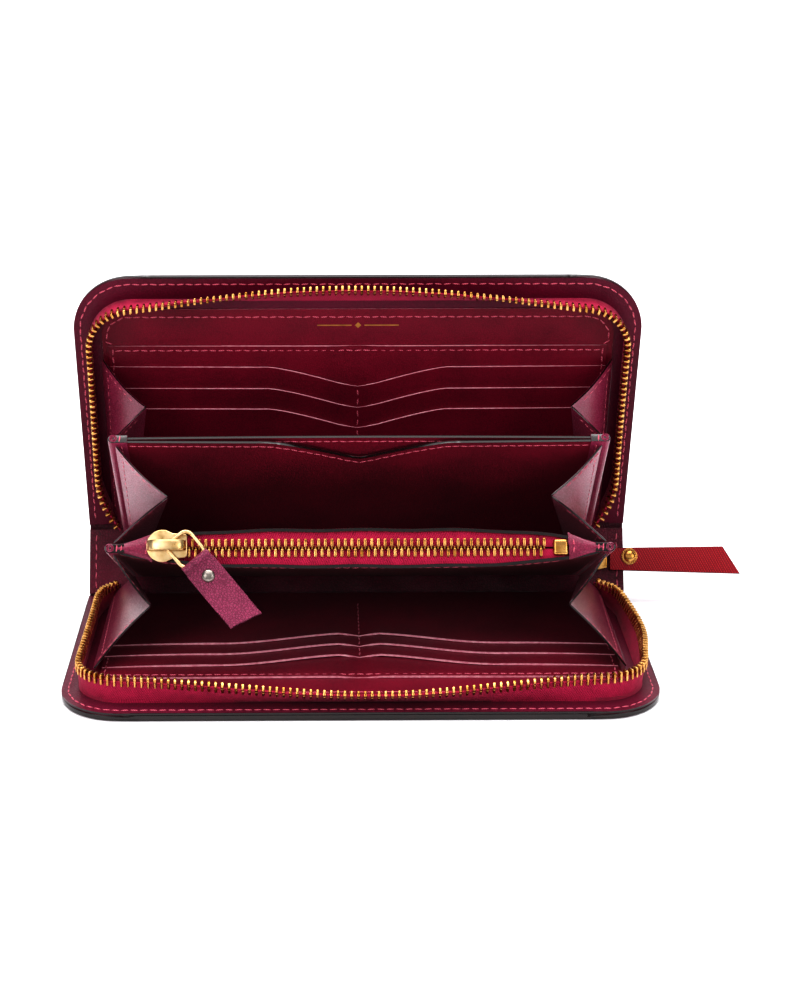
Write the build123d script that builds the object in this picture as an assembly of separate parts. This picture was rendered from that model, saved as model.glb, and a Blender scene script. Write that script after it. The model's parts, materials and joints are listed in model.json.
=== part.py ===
"""Long zip-around wallet, unzipped and standing open on its lower cover.

Millimetres, +Z up. X runs along the folds, the mouth faces -Y, and the origin is the
centre of the lower cover's underside. Every leaf (cover, card panel, coin pocket,
divider) is drawn flat and then put on its own frame: local x runs along the fold,
local -y runs out to the mouth, and local z is the leaf's upper normal.
"""
import os
from math import asin, atan2, cos, degrees, hypot, pi, radians, sin, sqrt

from build123d import *

# ---- Driving dimensions -------------------------------------------------------------
COVER_WIDTH = 195.0
COVER_DEPTH = 101.0
COVER_CORNER = 20.0
SKIN = 1.0
BOARD = 0.8
LINING = 0.9
SPINE_HEIGHT = 26.4          # between the two fold axes
BOARD_MARGIN = 3.0           # board recess, in from the cover's edge
BOARD_PLAY = 0.2             # gap round the board in its recess
LINING_MARGIN = 0.3
SPINE_START = 1.6            # spine's inner layers start this far from the fold axes
SPINE_STRIP_START = 0.8      # and its outer leather this far, under the beads

# Rest angles in the YZ plane, measured from +Y towards +Z
SPINE_ANGLE = 64.5
UPPER_ANGLE = 103.6
DIVIDER_ANGLE = 129.1
COIN_ANGLE = 152.3
LOWER_ANGLE = 180.0
SHUT_SPINE_ANGLE = 90.0      # shut: spine upright, every leaf parallel to the lower cover

# Leaves between the covers
LEAF_ROOT_INSET = 2.7        # leaf root to the spine's mid plane
LEAF_DEPTH = 72.0
LEAF_HALF_WIDTH = 80.2
LEAF_START = 2.0             # panels start this far from their root
EDGE_START = 3.0             # and the wrapped ends this far
PANEL = 1.1                  # thickness of one divider panel
PANEL_GAP = 0.05             # each panel to the leaf's mid plane
FRONT_PANEL_INSET = 0.8      # front panel's mouth below the rear panel's
NOTCH = ((30.0, 0.0), (8.0, 7.3), (0.0, 9.5))  # half width and depth of the notch, step by step
EDGE_INNER = 80.4            # wrapped leaf end, from here ...
EDGE_OUTER = 84.2            # ... to here
EDGE_HALF = 1.6              # its half thickness

# Coin pocket mouth: how far each wall stands from the leaf's mid plane
COIN_WALL = 1.0
COIN_END_HALF = 1.3
COIN_FRONT_HALF = 4.2
COIN_REAR_HALF = 5.4
COIN_MOUTH = 71.3
COIN_TAPE_RADIUS = 70.4
COIN_CHAIN_RADIUS = 71.5
COIN_TEETH_PITCH = 2.18
COIN_CHAIN_HALF = 3.05
COIN_ZIP_END = 66.0
COIN_SLIDER_X = -63.3
COIN_SLIDER_LENGTH = 13.4
COIN_SLIDER_WIDTH = 11.0
COIN_PULL_SWING = 50.0       # how far the pull hangs below the line of the zip
COIN_TAPE = 0.5
COIN_TOOTH = (0.9, 1.6)      # along the zip, and out of the mouth
COIN_STOP = (63.4, 68.4)     # from and to, along the zip
COIN_STOP_HALF = 3.2
COIN_STOP_TOP = 73.4
COIN_TAB = (69.2, 79.6)      # leather tab from the stop to the wrapped end
COIN_TAB_THICK = 0.8
SLIDER_FACE = (73.4, 74.6)   # face plate's radii
SLIDER_REAR = (68.9, 70.0)   # rear plate's radii
BRIDGE_HALF = 6.0            # bridge over the face plate, half its length
BRIDGE_TOP = 78.2
BRIDGE_WALL = 1.0
BRIDGE_POST = 1.6
BRIDGE_HALF_WIDTH = 1.75
PULL_PIVOT_OFFSET = 5.2      # from the slider's middle to the ring's pivot
PULL_PIVOT_RADIUS = 76.1
RING = (-3.4, 7.0)           # ring's near and far end along the pull
RING_HALF = 4.6
RING_WIRE = 0.65
PULL_LEATHER = (5.6, 31.0, 33.6)   # start, short side's end, long side's end
PULL_HALF = 5.3
PULL_THICK = 2.5
PULL_SLOT = 1.9              # gap between the folded leather's two layers at the ring
PULL_RIVET_U = 13.0
PULL_RIVET = (0.9, 2.1, 1.0)  # stem radius, head radius, head height

# Card panels
SHEET = 0.4                  # one layer of card leather
CARD_HALF_WIDTH = 88.0
SLOT_HALF_WIDTH = 86.0
CARD_ROOT = 4.0
BACKING_EDGE = 11.4          # distances in from the cover's outer edge
BILL_POCKET_EDGE = 25.4
SLOT_EDGES = (33.3, 41.6, 49.6)
SLOT_DIP = 8.0
SLOT_DIP_START = 31.0
BACKING_CORNER = 10.0

# Zip round the three open sides of each cover
ZIP_SIDE = 92.0
ZIP_FRONT_INSET = 8.0
ZIP_CORNER = 15.0
ZIP_ROOT = 7.2
TAPE = 0.7
TAPE_HEIGHT = 7.2
TOOTH_PITCH = 2.16
TOOTH = (1.0, 2.2, 2.3)      # along the zip, across it, and up
TOOTH_GAP = 0.3
FLARE = 52.0                 # how far the zip leans out in the middle of the front
FLARE_HALF = 80.0

# Zip pull at the right end of the spine
ZIP_PULL_AXIS_X = 92.6       # swing axis, read by the record
ZIP_PULL_START = 92.0
ZIP_PULL_LENGTH = 47.6
ZIP_PULL_SLANT = 6.2         # upper side's end short of the lower side's
ZIP_PULL_WIDTH = 8.5
ZIP_PULL_THICK = 2.2
ZIP_RIVET_OFFSET = 7.2       # from the start of the pull
ZIP_RIVET = (1.5, 3.0, 0.8)  # stem radius, head radius, head height
ZIP_SLIDER = (83.0, 91.2)    # from and to, along the fold
ZIP_SLIDER_HALF = 5.0
ZIP_SLIDER_THICK = 3.8
ZIP_SLIDER_CORNER = 1.5
ZIP_SLIDER_DROP = 3.75       # slider's middle below the spine's mid plane

# Gussets
GUSSET = 0.5
GUSSET_ROOT = 6.0
GUSSET_HINGE_GAP = 0.5       # panel to its hinge line
GUSSET_ROOT_LEAST = 1.3
GUSSET_MOUTH = 70.5
FOLD_RADIUS = 67.0
FOLD_GAP = 2.8
LEAF_HINGE_X = 81.0
LEAF_HINGE_H = EDGE_HALF + 0.5
COVER_HINGE_X = 88.0

# ---- Derived ------------------------------------------------------------------------
COVER = SKIN + BOARD + LINING
HALF_COVER = COVER / 2
CARD_STACK = 5 * SHEET
COVER_HINGE_H = HALF_COVER + CARD_STACK + 0.5
FOLD_GAP_COVER = 1.55        # covers start this far from their fold axis
BARREL = 1.25                # rounded bead of the spine leather round each fold axis

LOWER_FOLD = (COVER_DEPTH / 2, HALF_COVER)


def polar(origin, distance, angle):
    """Point at a distance along an angle in the YZ plane."""
    return (origin[0] + distance * cos(radians(angle)), origin[1] + distance * sin(radians(angle)))


def leaf_root(fraction, spine_angle=SPINE_ANGLE):
    """Root of a leaf: a fraction of the way up the spine, just inside it."""
    return polar(polar(LOWER_FOLD, fraction * SPINE_HEIGHT, spine_angle), LEAF_ROOT_INSET, spine_angle + 90)


UPPER_FOLD = polar(LOWER_FOLD, SPINE_HEIGHT, SPINE_ANGLE)
COIN_ROOT = leaf_root(1 / 3)
DIVIDER_ROOT = leaf_root(2 / 3)


def leaf_frame(root, angle):
    """Local x along the fold, -y out to the mouth, z the upper normal."""
    return Plane(origin=(0, *root), x_dir=(1, 0, 0), z_dir=(0, sin(radians(angle)), -cos(radians(angle))))


LOWER = leaf_frame(LOWER_FOLD, LOWER_ANGLE)
UPPER = leaf_frame(UPPER_FOLD, UPPER_ANGLE)
SPINE = leaf_frame(LOWER_FOLD, SPINE_ANGLE)
COIN = leaf_frame(COIN_ROOT, COIN_ANGLE)
DIVIDER = leaf_frame(DIVIDER_ROOT, DIVIDER_ANGLE)


# ---- Flat shapes --------------------------------------------------------------------
def sheet(outline, low, thickness):
    """A flat sheet of an outline, from height low."""
    return Pos(0, 0, low) * extrude(outline, thickness)


def panel_outline(half_width, near, far, corner=0.0):
    """Rectangle from near to far of the fold, its two far corners rounded."""
    face = Pos(0, -(near + far) / 2) * Rectangle(2 * half_width, far - near)
    if corner:
        face = fillet(face.vertices().group_by(Axis.Y)[0], corner)
    return face


def face_of(curves):
    """Face inside a closed run of curves."""
    return make_face([edge for curve in curves for edge in curve.edges()])


def slab(x0, x1, r0, r1, z0, z1):
    """Box in a leaf's own terms: along the fold, out to the mouth, and up."""
    return Pos((x0 + x1) / 2, -(r0 + r1) / 2, (z0 + z1) / 2) * Box(x1 - x0, r1 - r0, z1 - z0)


def put(shape, frame, inside_up=True):
    """Put a flat shape on its frame. The upper cover's inside is its lower face."""
    return frame.location * (shape if inside_up else mirror(shape, about=Plane.XY))


# ---- Covers and spine ---------------------------------------------------------------
def inset_outline(margin):
    """Cover's outline, a margin in from every edge."""
    return panel_outline(COVER_WIDTH / 2 - margin, FOLD_GAP_COVER + margin, COVER_DEPTH - margin, COVER_CORNER - margin)


def cover_leather():
    """Outer leather with the hollow that holds the board."""
    outline = panel_outline(COVER_WIDTH / 2, FOLD_GAP_COVER, COVER_DEPTH, COVER_CORNER)
    hollow = inset_outline(BOARD_MARGIN)
    return sheet(outline, -HALF_COVER, SKIN + BOARD) - sheet(hollow, -HALF_COVER + SKIN, BOARD)


def cover_board():
    return sheet(inset_outline(BOARD_MARGIN + BOARD_PLAY), -HALF_COVER + SKIN, BOARD)


def cover_lining():
    outline = panel_outline(COVER_WIDTH / 2 - LINING_MARGIN, FOLD_GAP_COVER, COVER_DEPTH - LINING_MARGIN,
                            COVER_CORNER - LINING_MARGIN)
    return sheet(outline, HALF_COVER - LINING, LINING)


def spine_leather():
    """Strip between the folds, with a rounded bead round each fold axis."""
    half = COVER_WIDTH / 2
    strip = slab(-half, half, SPINE_STRIP_START, SPINE_HEIGHT - SPINE_STRIP_START, HALF_COVER - SKIN, HALF_COVER)
    bead = Rot(0, 90, 0) * Cylinder(BARREL, COVER_WIDTH)
    return strip + bead + Pos(0, -SPINE_HEIGHT, 0) * bead


def spine_layer(low, high, margin):
    half = COVER_WIDTH / 2 - margin
    return slab(-half, half, SPINE_START, SPINE_HEIGHT - SPINE_START, low, high)


# ---- Card panels --------------------------------------------------------------------
def slot_outline(edge):
    """Card slot sheet: straight mouth at both sides, dipping in an S towards the middle."""
    far = COVER_DEPTH - edge
    low = far - SLOT_DIP
    right = Spline((0, -low), (SLOT_DIP_START, -far), tangents=((1, 0), (1, 0)))
    left = mirror(right, about=Plane.YZ)
    outline = [
        right,
        left,
        Polyline((SLOT_DIP_START, -far), (SLOT_HALF_WIDTH, -far), (SLOT_HALF_WIDTH, -CARD_ROOT),
                 (-SLOT_HALF_WIDTH, -CARD_ROOT), (-SLOT_HALF_WIDTH, -far), (-SLOT_DIP_START, -far)),
    ]
    return face_of(outline)


def card_panel(add, cover, frame, inside_up):
    """Backing, full-width bill pocket and three card slots, one sheet on another."""
    names = ["card_backing", "bill_pocket", "card_slot_1", "card_slot_2", "card_slot_3"]
    outlines = [
        panel_outline(CARD_HALF_WIDTH, CARD_ROOT, COVER_DEPTH - BACKING_EDGE, BACKING_CORNER),
        panel_outline(SLOT_HALF_WIDTH, CARD_ROOT, COVER_DEPTH - BILL_POCKET_EDGE),
    ] + [slot_outline(edge) for edge in SLOT_EDGES]
    for level, (name, outline) in enumerate(zip(names, outlines)):
        layer = sheet(outline, HALF_COVER + level * SHEET, SHEET)
        add(f"{cover}_{name}", put(layer, frame, inside_up))


# ---- Zip round the covers -----------------------------------------------------------
ZIP_FRONT = COVER_DEPTH - ZIP_FRONT_INSET
SIDE_RUN = ZIP_FRONT - ZIP_CORNER - ZIP_ROOT
CORNER_RUN = ZIP_CORNER * pi / 2
FRONT_RUN = 2 * (ZIP_SIDE - ZIP_CORNER)
ZIP_RUN = 2 * SIDE_RUN + 2 * CORNER_RUN + FRONT_RUN


def zip_point(run):
    """Foot of the zip after a run from its right root: x, y and the heading in radians."""
    if run > ZIP_RUN / 2:
        x, y, heading = zip_point(ZIP_RUN - run)
        return -x, y, -heading
    if run <= SIDE_RUN:
        return ZIP_SIDE, -(ZIP_ROOT + run), -pi / 2
    turn = (run - SIDE_RUN) / ZIP_CORNER
    if turn <= pi / 2:
        centre_x = ZIP_SIDE - ZIP_CORNER
        centre_y = -(ZIP_FRONT - ZIP_CORNER)
        return centre_x + ZIP_CORNER * cos(turn), centre_y - ZIP_CORNER * sin(turn), -pi / 2 - turn
    return ZIP_SIDE - ZIP_CORNER - (run - SIDE_RUN - CORNER_RUN), -ZIP_FRONT, -pi


def zip_lean(x):
    """Outward lean of the zip in radians: upright at the sides, leaning at the front."""
    if abs(x) >= FLARE_HALF:
        return 0.0
    return radians(FLARE) * (0.5 + 0.5 * cos(pi * x / FLARE_HALF))


def zip_frame(run):
    """Frame on the zip's foot: x along it, y outwards across the tape, z up the tape."""
    x, y, heading = zip_point(run)
    lean = zip_lean(x)
    along = Vector(cos(heading), sin(heading), 0)
    outward = Vector(-sin(heading), cos(heading), 0)
    rise = Vector(0, 0, cos(lean)) + outward * sin(lean)
    foot = Vector(x, y, HALF_COVER + TAPE / 2 * sin(lean))
    return Plane(origin=foot, x_dir=along, z_dir=rise)


def zip_tape():
    """Woven tape standing round the three open sides, as a ruled band."""
    side = [SIDE_RUN * step / 4 for step in range(4)]
    corner = [SIDE_RUN + CORNER_RUN * step / 8 for step in range(9)]
    front = [SIDE_RUN + CORNER_RUN + FRONT_RUN * step / 24 for step in range(1, 24)]
    runs = side + corner + front + [ZIP_RUN - run for run in reversed(side + corner)]
    sections = []
    for run in runs:
        frame = zip_frame(run)
        corners = [(0, -TAPE / 2, 0), (0, TAPE / 2, 0), (0, TAPE / 2, TAPE_HEIGHT), (0, -TAPE / 2, TAPE_HEIGHT)]
        points = [frame.from_local_coords(point) for point in corners]
        sections.append(make_face(Polyline(*points, close=True)))
    return loft(sections, ruled=True)


def zip_teeth():
    """One metal tooth a pitch along the tape's upper edge."""
    count = int(ZIP_RUN / TOOTH_PITCH)
    start = (ZIP_RUN - (count - 1) * TOOTH_PITCH) / 2
    height = TAPE_HEIGHT + TOOTH_GAP + TOOTH[2] / 2
    tooth = Pos(0, 0, height) * Box(*TOOTH)
    return Compound(children=[zip_frame(start + k * TOOTH_PITCH).location * tooth for k in range(count)])


def zip_slider():
    """Slider at the right end of the spine, between the ends of the two zip tapes."""
    middle = SPINE_HEIGHT / 2
    low = -ZIP_SLIDER_DROP - ZIP_SLIDER_THICK / 2
    body = slab(*ZIP_SLIDER, middle - ZIP_SLIDER_HALF, middle + ZIP_SLIDER_HALF, low, low + ZIP_SLIDER_THICK)
    return fillet(body.edges().filter_by(Axis.Z), ZIP_SLIDER_CORNER)


def zip_pull():
    """Leather pull, standing out past the covers, with a slanted end."""
    middle = SPINE_HEIGHT / 2
    end = ZIP_PULL_START + ZIP_PULL_LENGTH
    half = ZIP_PULL_WIDTH / 2
    face = -ZIP_SLIDER_DROP - ZIP_PULL_THICK / 2
    outline = make_face(Polyline((ZIP_PULL_START, -middle - half), (end - ZIP_PULL_SLANT, -middle - half),
                                 (end, -middle + half), (ZIP_PULL_START, -middle + half), close=True))
    leather = sheet(outline, face, ZIP_PULL_THICK)
    stem_radius, head_radius, head_height = ZIP_RIVET
    centre = Pos(ZIP_PULL_START + ZIP_RIVET_OFFSET, -middle, -ZIP_SLIDER_DROP)
    stem = centre * Cylinder(stem_radius, ZIP_PULL_THICK)
    head = centre * Pos(0, 0, -(ZIP_PULL_THICK + head_height) / 2) * Cylinder(head_radius, head_height)
    return leather - stem, stem + head


# ---- Divider ------------------------------------------------------------------------
def divider_front_outline():
    """Front panel with a shallow notch in the middle of its mouth."""
    far = -LEAF_DEPTH + FRONT_PANEL_INSET
    right = [(x, far + depth) for x, depth in reversed(NOTCH)]
    right += [(LEAF_HALF_WIDTH, far), (LEAF_HALF_WIDTH, -LEAF_START)]
    left = [(-x, y) for x, y in reversed(right[1:])]
    return make_face(Polyline(*left, *right, close=True))


def wrapped_edge(side):
    """Leather wrapped round one end of a leaf."""
    edge = slab(EDGE_INNER, EDGE_OUTER, EDGE_START, LEAF_DEPTH, -EDGE_HALF, EDGE_HALF)
    edge = fillet(edge.edges().filter_by(Axis.Y).group_by(Axis.X)[-1], EDGE_HALF - 0.05)
    return edge if side > 0 else mirror(edge, about=Plane.YZ)


# ---- Coin pocket --------------------------------------------------------------------
def coin_half(x, full):
    """Distance of a wall's outer face from the mid plane at the mouth."""
    return COIN_END_HALF + (full - COIN_END_HALF) * (1 - (abs(x) / LEAF_HALF_WIDTH) ** 4)


def coin_wall(full, side):
    """Bulged wall: flat at its root, bowed at its mouth."""
    stations = [LEAF_HALF_WIDTH * step / 6 for step in range(-6, 7)]

    def section(radius, share):
        outer = [(x, -radius, side * (COIN_END_HALF + share * (coin_half(x, full) - COIN_END_HALF))) for x in stations]
        inner = [(x, y, z - side * COIN_WALL) for x, y, z in outer]
        edges = [Spline(*outer), Line(outer[-1], inner[-1]), Spline(*reversed(inner)), Line(inner[0], outer[0])]
        return face_of(edges)

    return loft([section(LEAF_START, 0.02), section(COIN_MOUTH, 1.0)], ruled=True)


def mouth_plane(radius):
    """Plane across the mouth, its normal pointing out of the pocket."""
    return Plane(origin=(0, -radius, 0), x_dir=(1, 0, 0), z_dir=(0, -1, 0))


def coin_tape(full, side):
    """Zip tape between the chain and one wall, across the mouth."""
    stations = [COIN_ZIP_END * step / 5 for step in range(-5, 6)]
    edge = [(x, side * (coin_half(x, full) - COIN_WALL - 0.15)) for x in stations]
    outline = face_of([Spline(*edge), Polyline(edge[-1], (COIN_ZIP_END, side * 0.2),
                                               (-COIN_ZIP_END, side * 0.2), edge[0])])
    return mouth_plane(COIN_TAPE_RADIUS).location * extrude(outline, COIN_TAPE)


def coin_teeth(side):
    """Every second tooth of the closed chain."""
    count = int((2 * COIN_ZIP_END - 8) / COIN_TEETH_PITCH)
    start = -(count - 1) * COIN_TEETH_PITCH / 2 + side * COIN_TEETH_PITCH / 4
    length, height = COIN_TOOTH
    teeth = []
    for k in range(count):
        x = start + k * COIN_TEETH_PITCH
        low, high = sorted((-side * 0.5, side * COIN_CHAIN_HALF))
        teeth.append(slab(x - length / 2, x + length / 2, COIN_CHAIN_RADIUS, COIN_CHAIN_RADIUS + height, low, high))
    return Compound(children=teeth)


def coin_end_tab(side):
    """Leather tab that closes the mouth between the zip and the wrapped edge."""
    start, end = COIN_TAB
    outline = make_face(Polyline((start, 3.0), (end, 0.5), (end, -0.5), (start, -2.2), close=True))
    tab = mouth_plane(COIN_CHAIN_RADIUS).location * extrude(outline, COIN_TAB_THICK)
    return tab if side > 0 else mirror(tab, about=Plane.YZ)


COIN_SLIDER_MID = (COIN_REAR_HALF - COIN_FRONT_HALF) / 2
PULL_PIVOT = (COIN_SLIDER_X + PULL_PIVOT_OFFSET, -PULL_PIVOT_RADIUS, COIN_SLIDER_MID)


def coin_slider():
    """Slider: face plate with its bridge, and the plate behind the chain."""
    x, mid = COIN_SLIDER_X, COIN_SLIDER_MID
    half = COIN_SLIDER_WIDTH / 2
    base, top = SLIDER_FACE
    face = slab(x - COIN_SLIDER_LENGTH / 2, x + COIN_SLIDER_LENGTH / 2, base, top, mid - half, mid + half)
    head_corners = face.edges().filter_by(Axis.Y).group_by(Axis.X)[0]
    face = fillet(head_corners, half - 0.1)
    bridge = slab(x - BRIDGE_HALF, x + BRIDGE_HALF, top, BRIDGE_TOP, mid - BRIDGE_HALF_WIDTH, mid + BRIDGE_HALF_WIDTH)
    opening = BRIDGE_HALF - BRIDGE_POST
    bridge -= slab(x - opening, x + opening, top - 0.1, BRIDGE_TOP - BRIDGE_WALL, mid - half, mid + half)
    rear = slab(x - half, x + half, *SLIDER_REAR, mid - 1.0, mid + 1.0)
    return Compound(children=[face + bridge, rear])


def pull_frame(swing=COIN_PULL_SWING):
    """Frame on the pull's pivot: x along the pull, z out of the mouth."""
    along = (cos(radians(swing)), 0, -sin(radians(swing)))
    return Plane(origin=PULL_PIVOT, x_dir=along, z_dir=(0, -1, 0))


def coin_pull():
    """Wire ring, folded leather tab with a slanted end, and the rivet through it."""
    near, far = RING
    route = (Pos((near + far) / 2, 0, 0) * RectangleRounded(far - near, 2 * RING_HALF, 2.2)).wire()
    ring = sweep(Plane(origin=route @ 0, z_dir=route % 0) * Circle(RING_WIRE), path=route)
    start, short, long = PULL_LEATHER
    outline = make_face(Polyline((start, -PULL_HALF), (short, -PULL_HALF), (long, PULL_HALF), (start, PULL_HALF),
                                 close=True))
    leather = Pos(0, 0, -PULL_THICK / 2) * extrude(outline, PULL_THICK)
    leather -= Pos(far, 0, 0) * Rot(90, 0, 0) * Cylinder(RING_WIRE + 0.25, 12)
    leather -= Pos((start + far) / 2, 0, 0) * Box(far - start + 4, 12, PULL_SLOT)
    stem_radius, head_radius, head_height = PULL_RIVET
    centre = Pos(PULL_RIVET_U, 0, 0)
    hole = centre * Cylinder(stem_radius, 2 * PULL_THICK)
    rivet = centre * Cylinder(stem_radius, PULL_THICK)
    rivet += centre * Pos(0, 0, (PULL_THICK + head_height) / 2) * Cylinder(head_radius, head_height)
    return ring, leather - hole, rivet


# ---- Gussets ------------------------------------------------------------------------
# Each gusset joins two leaves at one side. Its two half panels hinge on the leaves and
# meet in a fold that moves inwards as the wallet shuts.
LEAVES = {
    "lower": (LOWER_FOLD, LOWER_ANGLE, COVER_HINGE_X, COVER_HINGE_H),
    "coin": (COIN_ROOT, COIN_ANGLE, LEAF_HINGE_X, LEAF_HINGE_H),
    "divider": (DIVIDER_ROOT, DIVIDER_ANGLE, LEAF_HINGE_X, LEAF_HINGE_H),
    "upper": (UPPER_FOLD, UPPER_ANGLE, COVER_HINGE_X, COVER_HINGE_H),
}
SHUT_ROOTS = {
    "lower": LOWER_FOLD,
    "coin": leaf_root(1 / 3, SHUT_SPINE_ANGLE),
    "divider": leaf_root(2 / 3, SHUT_SPINE_ANGLE),
    "upper": polar(LOWER_FOLD, SPINE_HEIGHT, SHUT_SPINE_ANGLE),
}
# name: lower leaf, upper leaf, fold's x at rest, share of the shut gap below the fold
GUSSETS = {
    "lower": ("lower", "coin", 70.0, 0.40),
    "middle": ("coin", "divider", 64.5, 0.66),
    "upper": ("divider", "upper", 73.0, 0.5),
}


def hinge_point(root, angle, height, radius):
    """Point of a hinge line in the YZ plane."""
    return polar(polar(root, radius, angle), height, angle - 90)


def gusset_halves(name):
    """Sizes of a gusset's two halves: (leaf, face, hinge x, hinge height, rest dihedral,
    shut dihedral, fold radius, fold width at the mouth, fold width at the root)."""
    low, high, fold_x, shut_share = GUSSETS[name]
    low_root, low_angle, low_x, low_h = LEAVES[low]
    high_root, high_angle, high_x, high_h = LEAVES[high]
    half_spread = radians(low_angle - high_angle) / 2

    def gap(radius):
        a = hinge_point(low_root, low_angle, low_h, radius)
        b = hinge_point(high_root, high_angle, -high_h, radius)
        return hypot(a[0] - b[0], a[1] - b[1])

    shut_gap = SHUT_ROOTS[high][1] - SHUT_ROOTS[low][1] - low_h - high_h
    mouth_gap = gap(FOLD_RADIUS) * cos(half_spread)
    root_gap = gap(GUSSET_ROOT) * cos(half_spread)

    def miss(share):
        """How far apart the two folds are in x when shut, for a share at rest."""
        low_width = hypot(low_x - fold_x, share * mouth_gap)
        high_width = hypot(high_x - fold_x, (1 - share) * mouth_gap)
        low_reach = low_x - sqrt(low_width ** 2 - (shut_share * shut_gap) ** 2)
        high_reach = high_x - sqrt(high_width ** 2 - ((1 - shut_share) * shut_gap) ** 2)
        return low_reach - high_reach

    left, right = 0.2, 0.8
    for _ in range(40):
        middle = (left + right) / 2
        if miss(left) * miss(middle) <= 0:
            right = middle
        else:
            left = middle
    share = (left + right) / 2
    halves = []
    for leaf, face, x, h, part, shut_part in (
            (low, 1, low_x, low_h, share, shut_share), (high, -1, high_x, high_h, 1 - share, 1 - shut_share)):
        height = part * mouth_gap
        width = hypot(x - fold_x, height)
        rest = atan2(height, x - fold_x)
        shut = asin(shut_part * shut_gap / width)
        root_width = part * root_gap / sin(rest)
        radius = FOLD_RADIUS - height * sin(half_spread)
        halves.append((leaf, face, x, h, degrees(rest), degrees(shut), radius, width, root_width))
    return halves


def gusset_half(half, side):
    """One flat half panel on its leaf's hinge line, at its rest dihedral."""
    leaf, face, x, h, rest, _, radius, width, root_width = half
    root, angle, _, _ = LEAVES[leaf]
    frame = leaf_frame(root, angle)
    root_reach = max(root_width - FOLD_GAP, GUSSET_ROOT_LEAST)
    outline = make_face(Polyline((GUSSET_HINGE_GAP, -GUSSET_ROOT), (root_reach, -GUSSET_ROOT),
                                 (width - FOLD_GAP, -radius), (GUSSET_HINGE_GAP, -GUSSET_MOUTH),
                                 close=True))
    flat = Pos(0, 0, -GUSSET / 2) * extrude(outline, GUSSET)
    inward = mirror(flat, about=Plane.YZ)
    turned = Rot(0, rest * face, 0) * inward
    placed = Pos(x, 0, face * h) * turned
    return frame.location * (placed if side > 0 else mirror(placed, about=Plane.YZ))


# ---- The wallet ---------------------------------------------------------------------
def wallet():
    nodes = {}

    def add(name, shape):
        nodes[name] = shape

    for cover, frame, inside_up in (("lower", LOWER, True), ("upper", UPPER, False)):
        add(f"{cover}_cover_leather", put(cover_leather(), frame, inside_up))
        add(f"{cover}_cover_board", put(cover_board(), frame, inside_up))
        add(f"{cover}_cover_lining", put(cover_lining(), frame, inside_up))
        card_panel(add, cover, frame, inside_up)
        add(f"{cover}_zip_tape", put(zip_tape(), frame, inside_up))
        add(f"{cover}_zip_teeth", put(zip_teeth(), frame, inside_up))

    add("spine_leather", put(spine_leather(), SPINE))
    add("spine_stiffener", put(spine_layer(HALF_COVER - SKIN - BOARD, HALF_COVER - SKIN, BOARD_MARGIN), SPINE))
    add("spine_lining", put(spine_layer(-HALF_COVER, HALF_COVER - SKIN - BOARD, LINING_MARGIN), SPINE))
    add("zip_slider", put(zip_slider(), SPINE))
    pull_leather, pull_rivet = zip_pull()
    add("zip_pull_leather", put(pull_leather, SPINE))
    add("zip_pull_rivet", put(pull_rivet, SPINE))

    rear = panel_outline(LEAF_HALF_WIDTH, LEAF_START, LEAF_DEPTH)
    add("divider_rear_panel", put(sheet(rear, PANEL_GAP, PANEL), DIVIDER))
    add("divider_front_panel", put(sheet(divider_front_outline(), -PANEL_GAP - PANEL, PANEL), DIVIDER))
    for side, word in ((-1, "left"), (1, "right")):
        add(f"divider_edge_{word}", put(wrapped_edge(side), DIVIDER))
        add(f"coin_edge_{word}", put(wrapped_edge(side), COIN))
        add(f"coin_end_tab_{word}", put(coin_end_tab(side), COIN))
        for level in GUSSETS:
            for half, part in zip(gusset_halves(level), ("bottom", "top")):
                add(f"gusset_{word}_{level}_{part}", gusset_half(half, side))

    add("coin_wall_front", put(coin_wall(COIN_FRONT_HALF, -1), COIN))
    add("coin_wall_rear", put(coin_wall(COIN_REAR_HALF, 1), COIN))
    add("coin_tape_front", put(coin_tape(COIN_FRONT_HALF, -1), COIN))
    add("coin_tape_rear", put(coin_tape(COIN_REAR_HALF, 1), COIN))
    add("coin_teeth_front", put(coin_teeth(-1), COIN))
    add("coin_teeth_rear", put(coin_teeth(1), COIN))
    add("coin_bottom_stop", put(slab(*COIN_STOP, COIN_CHAIN_RADIUS, COIN_STOP_TOP, -COIN_STOP_HALF, COIN_STOP_HALF), COIN))
    add("coin_slider", put(coin_slider(), COIN))
    ring, leather, rivet = coin_pull()
    pull = pull_frame().location
    add("coin_pull_ring", put(pull * ring, COIN))
    add("coin_pull_leather", put(pull * leather, COIN))
    add("coin_pull_rivet", put(pull * rivet, COIN))
    return nodes


if __name__ == "__main__":
    os.makedirs("parts", exist_ok=True)
    for name, shape in wallet().items():
        export_step(shape, f"parts/{name}.step")
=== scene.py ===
"""Looks of the long zip-around wallet: leather, cloth, thread and metal over the fixed frame.

Flat pieces are drawn in millimetres on their leaf: x along the fold, r out from the fold
to the mouth, h above the leaf's middle. A leaf's matrix puts them in place, in metres.
"""
import json
from math import atan2, cos, exp, pi, radians, sin, sqrt

import bmesh
import bpy
from mathutils import Matrix, Vector


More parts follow.
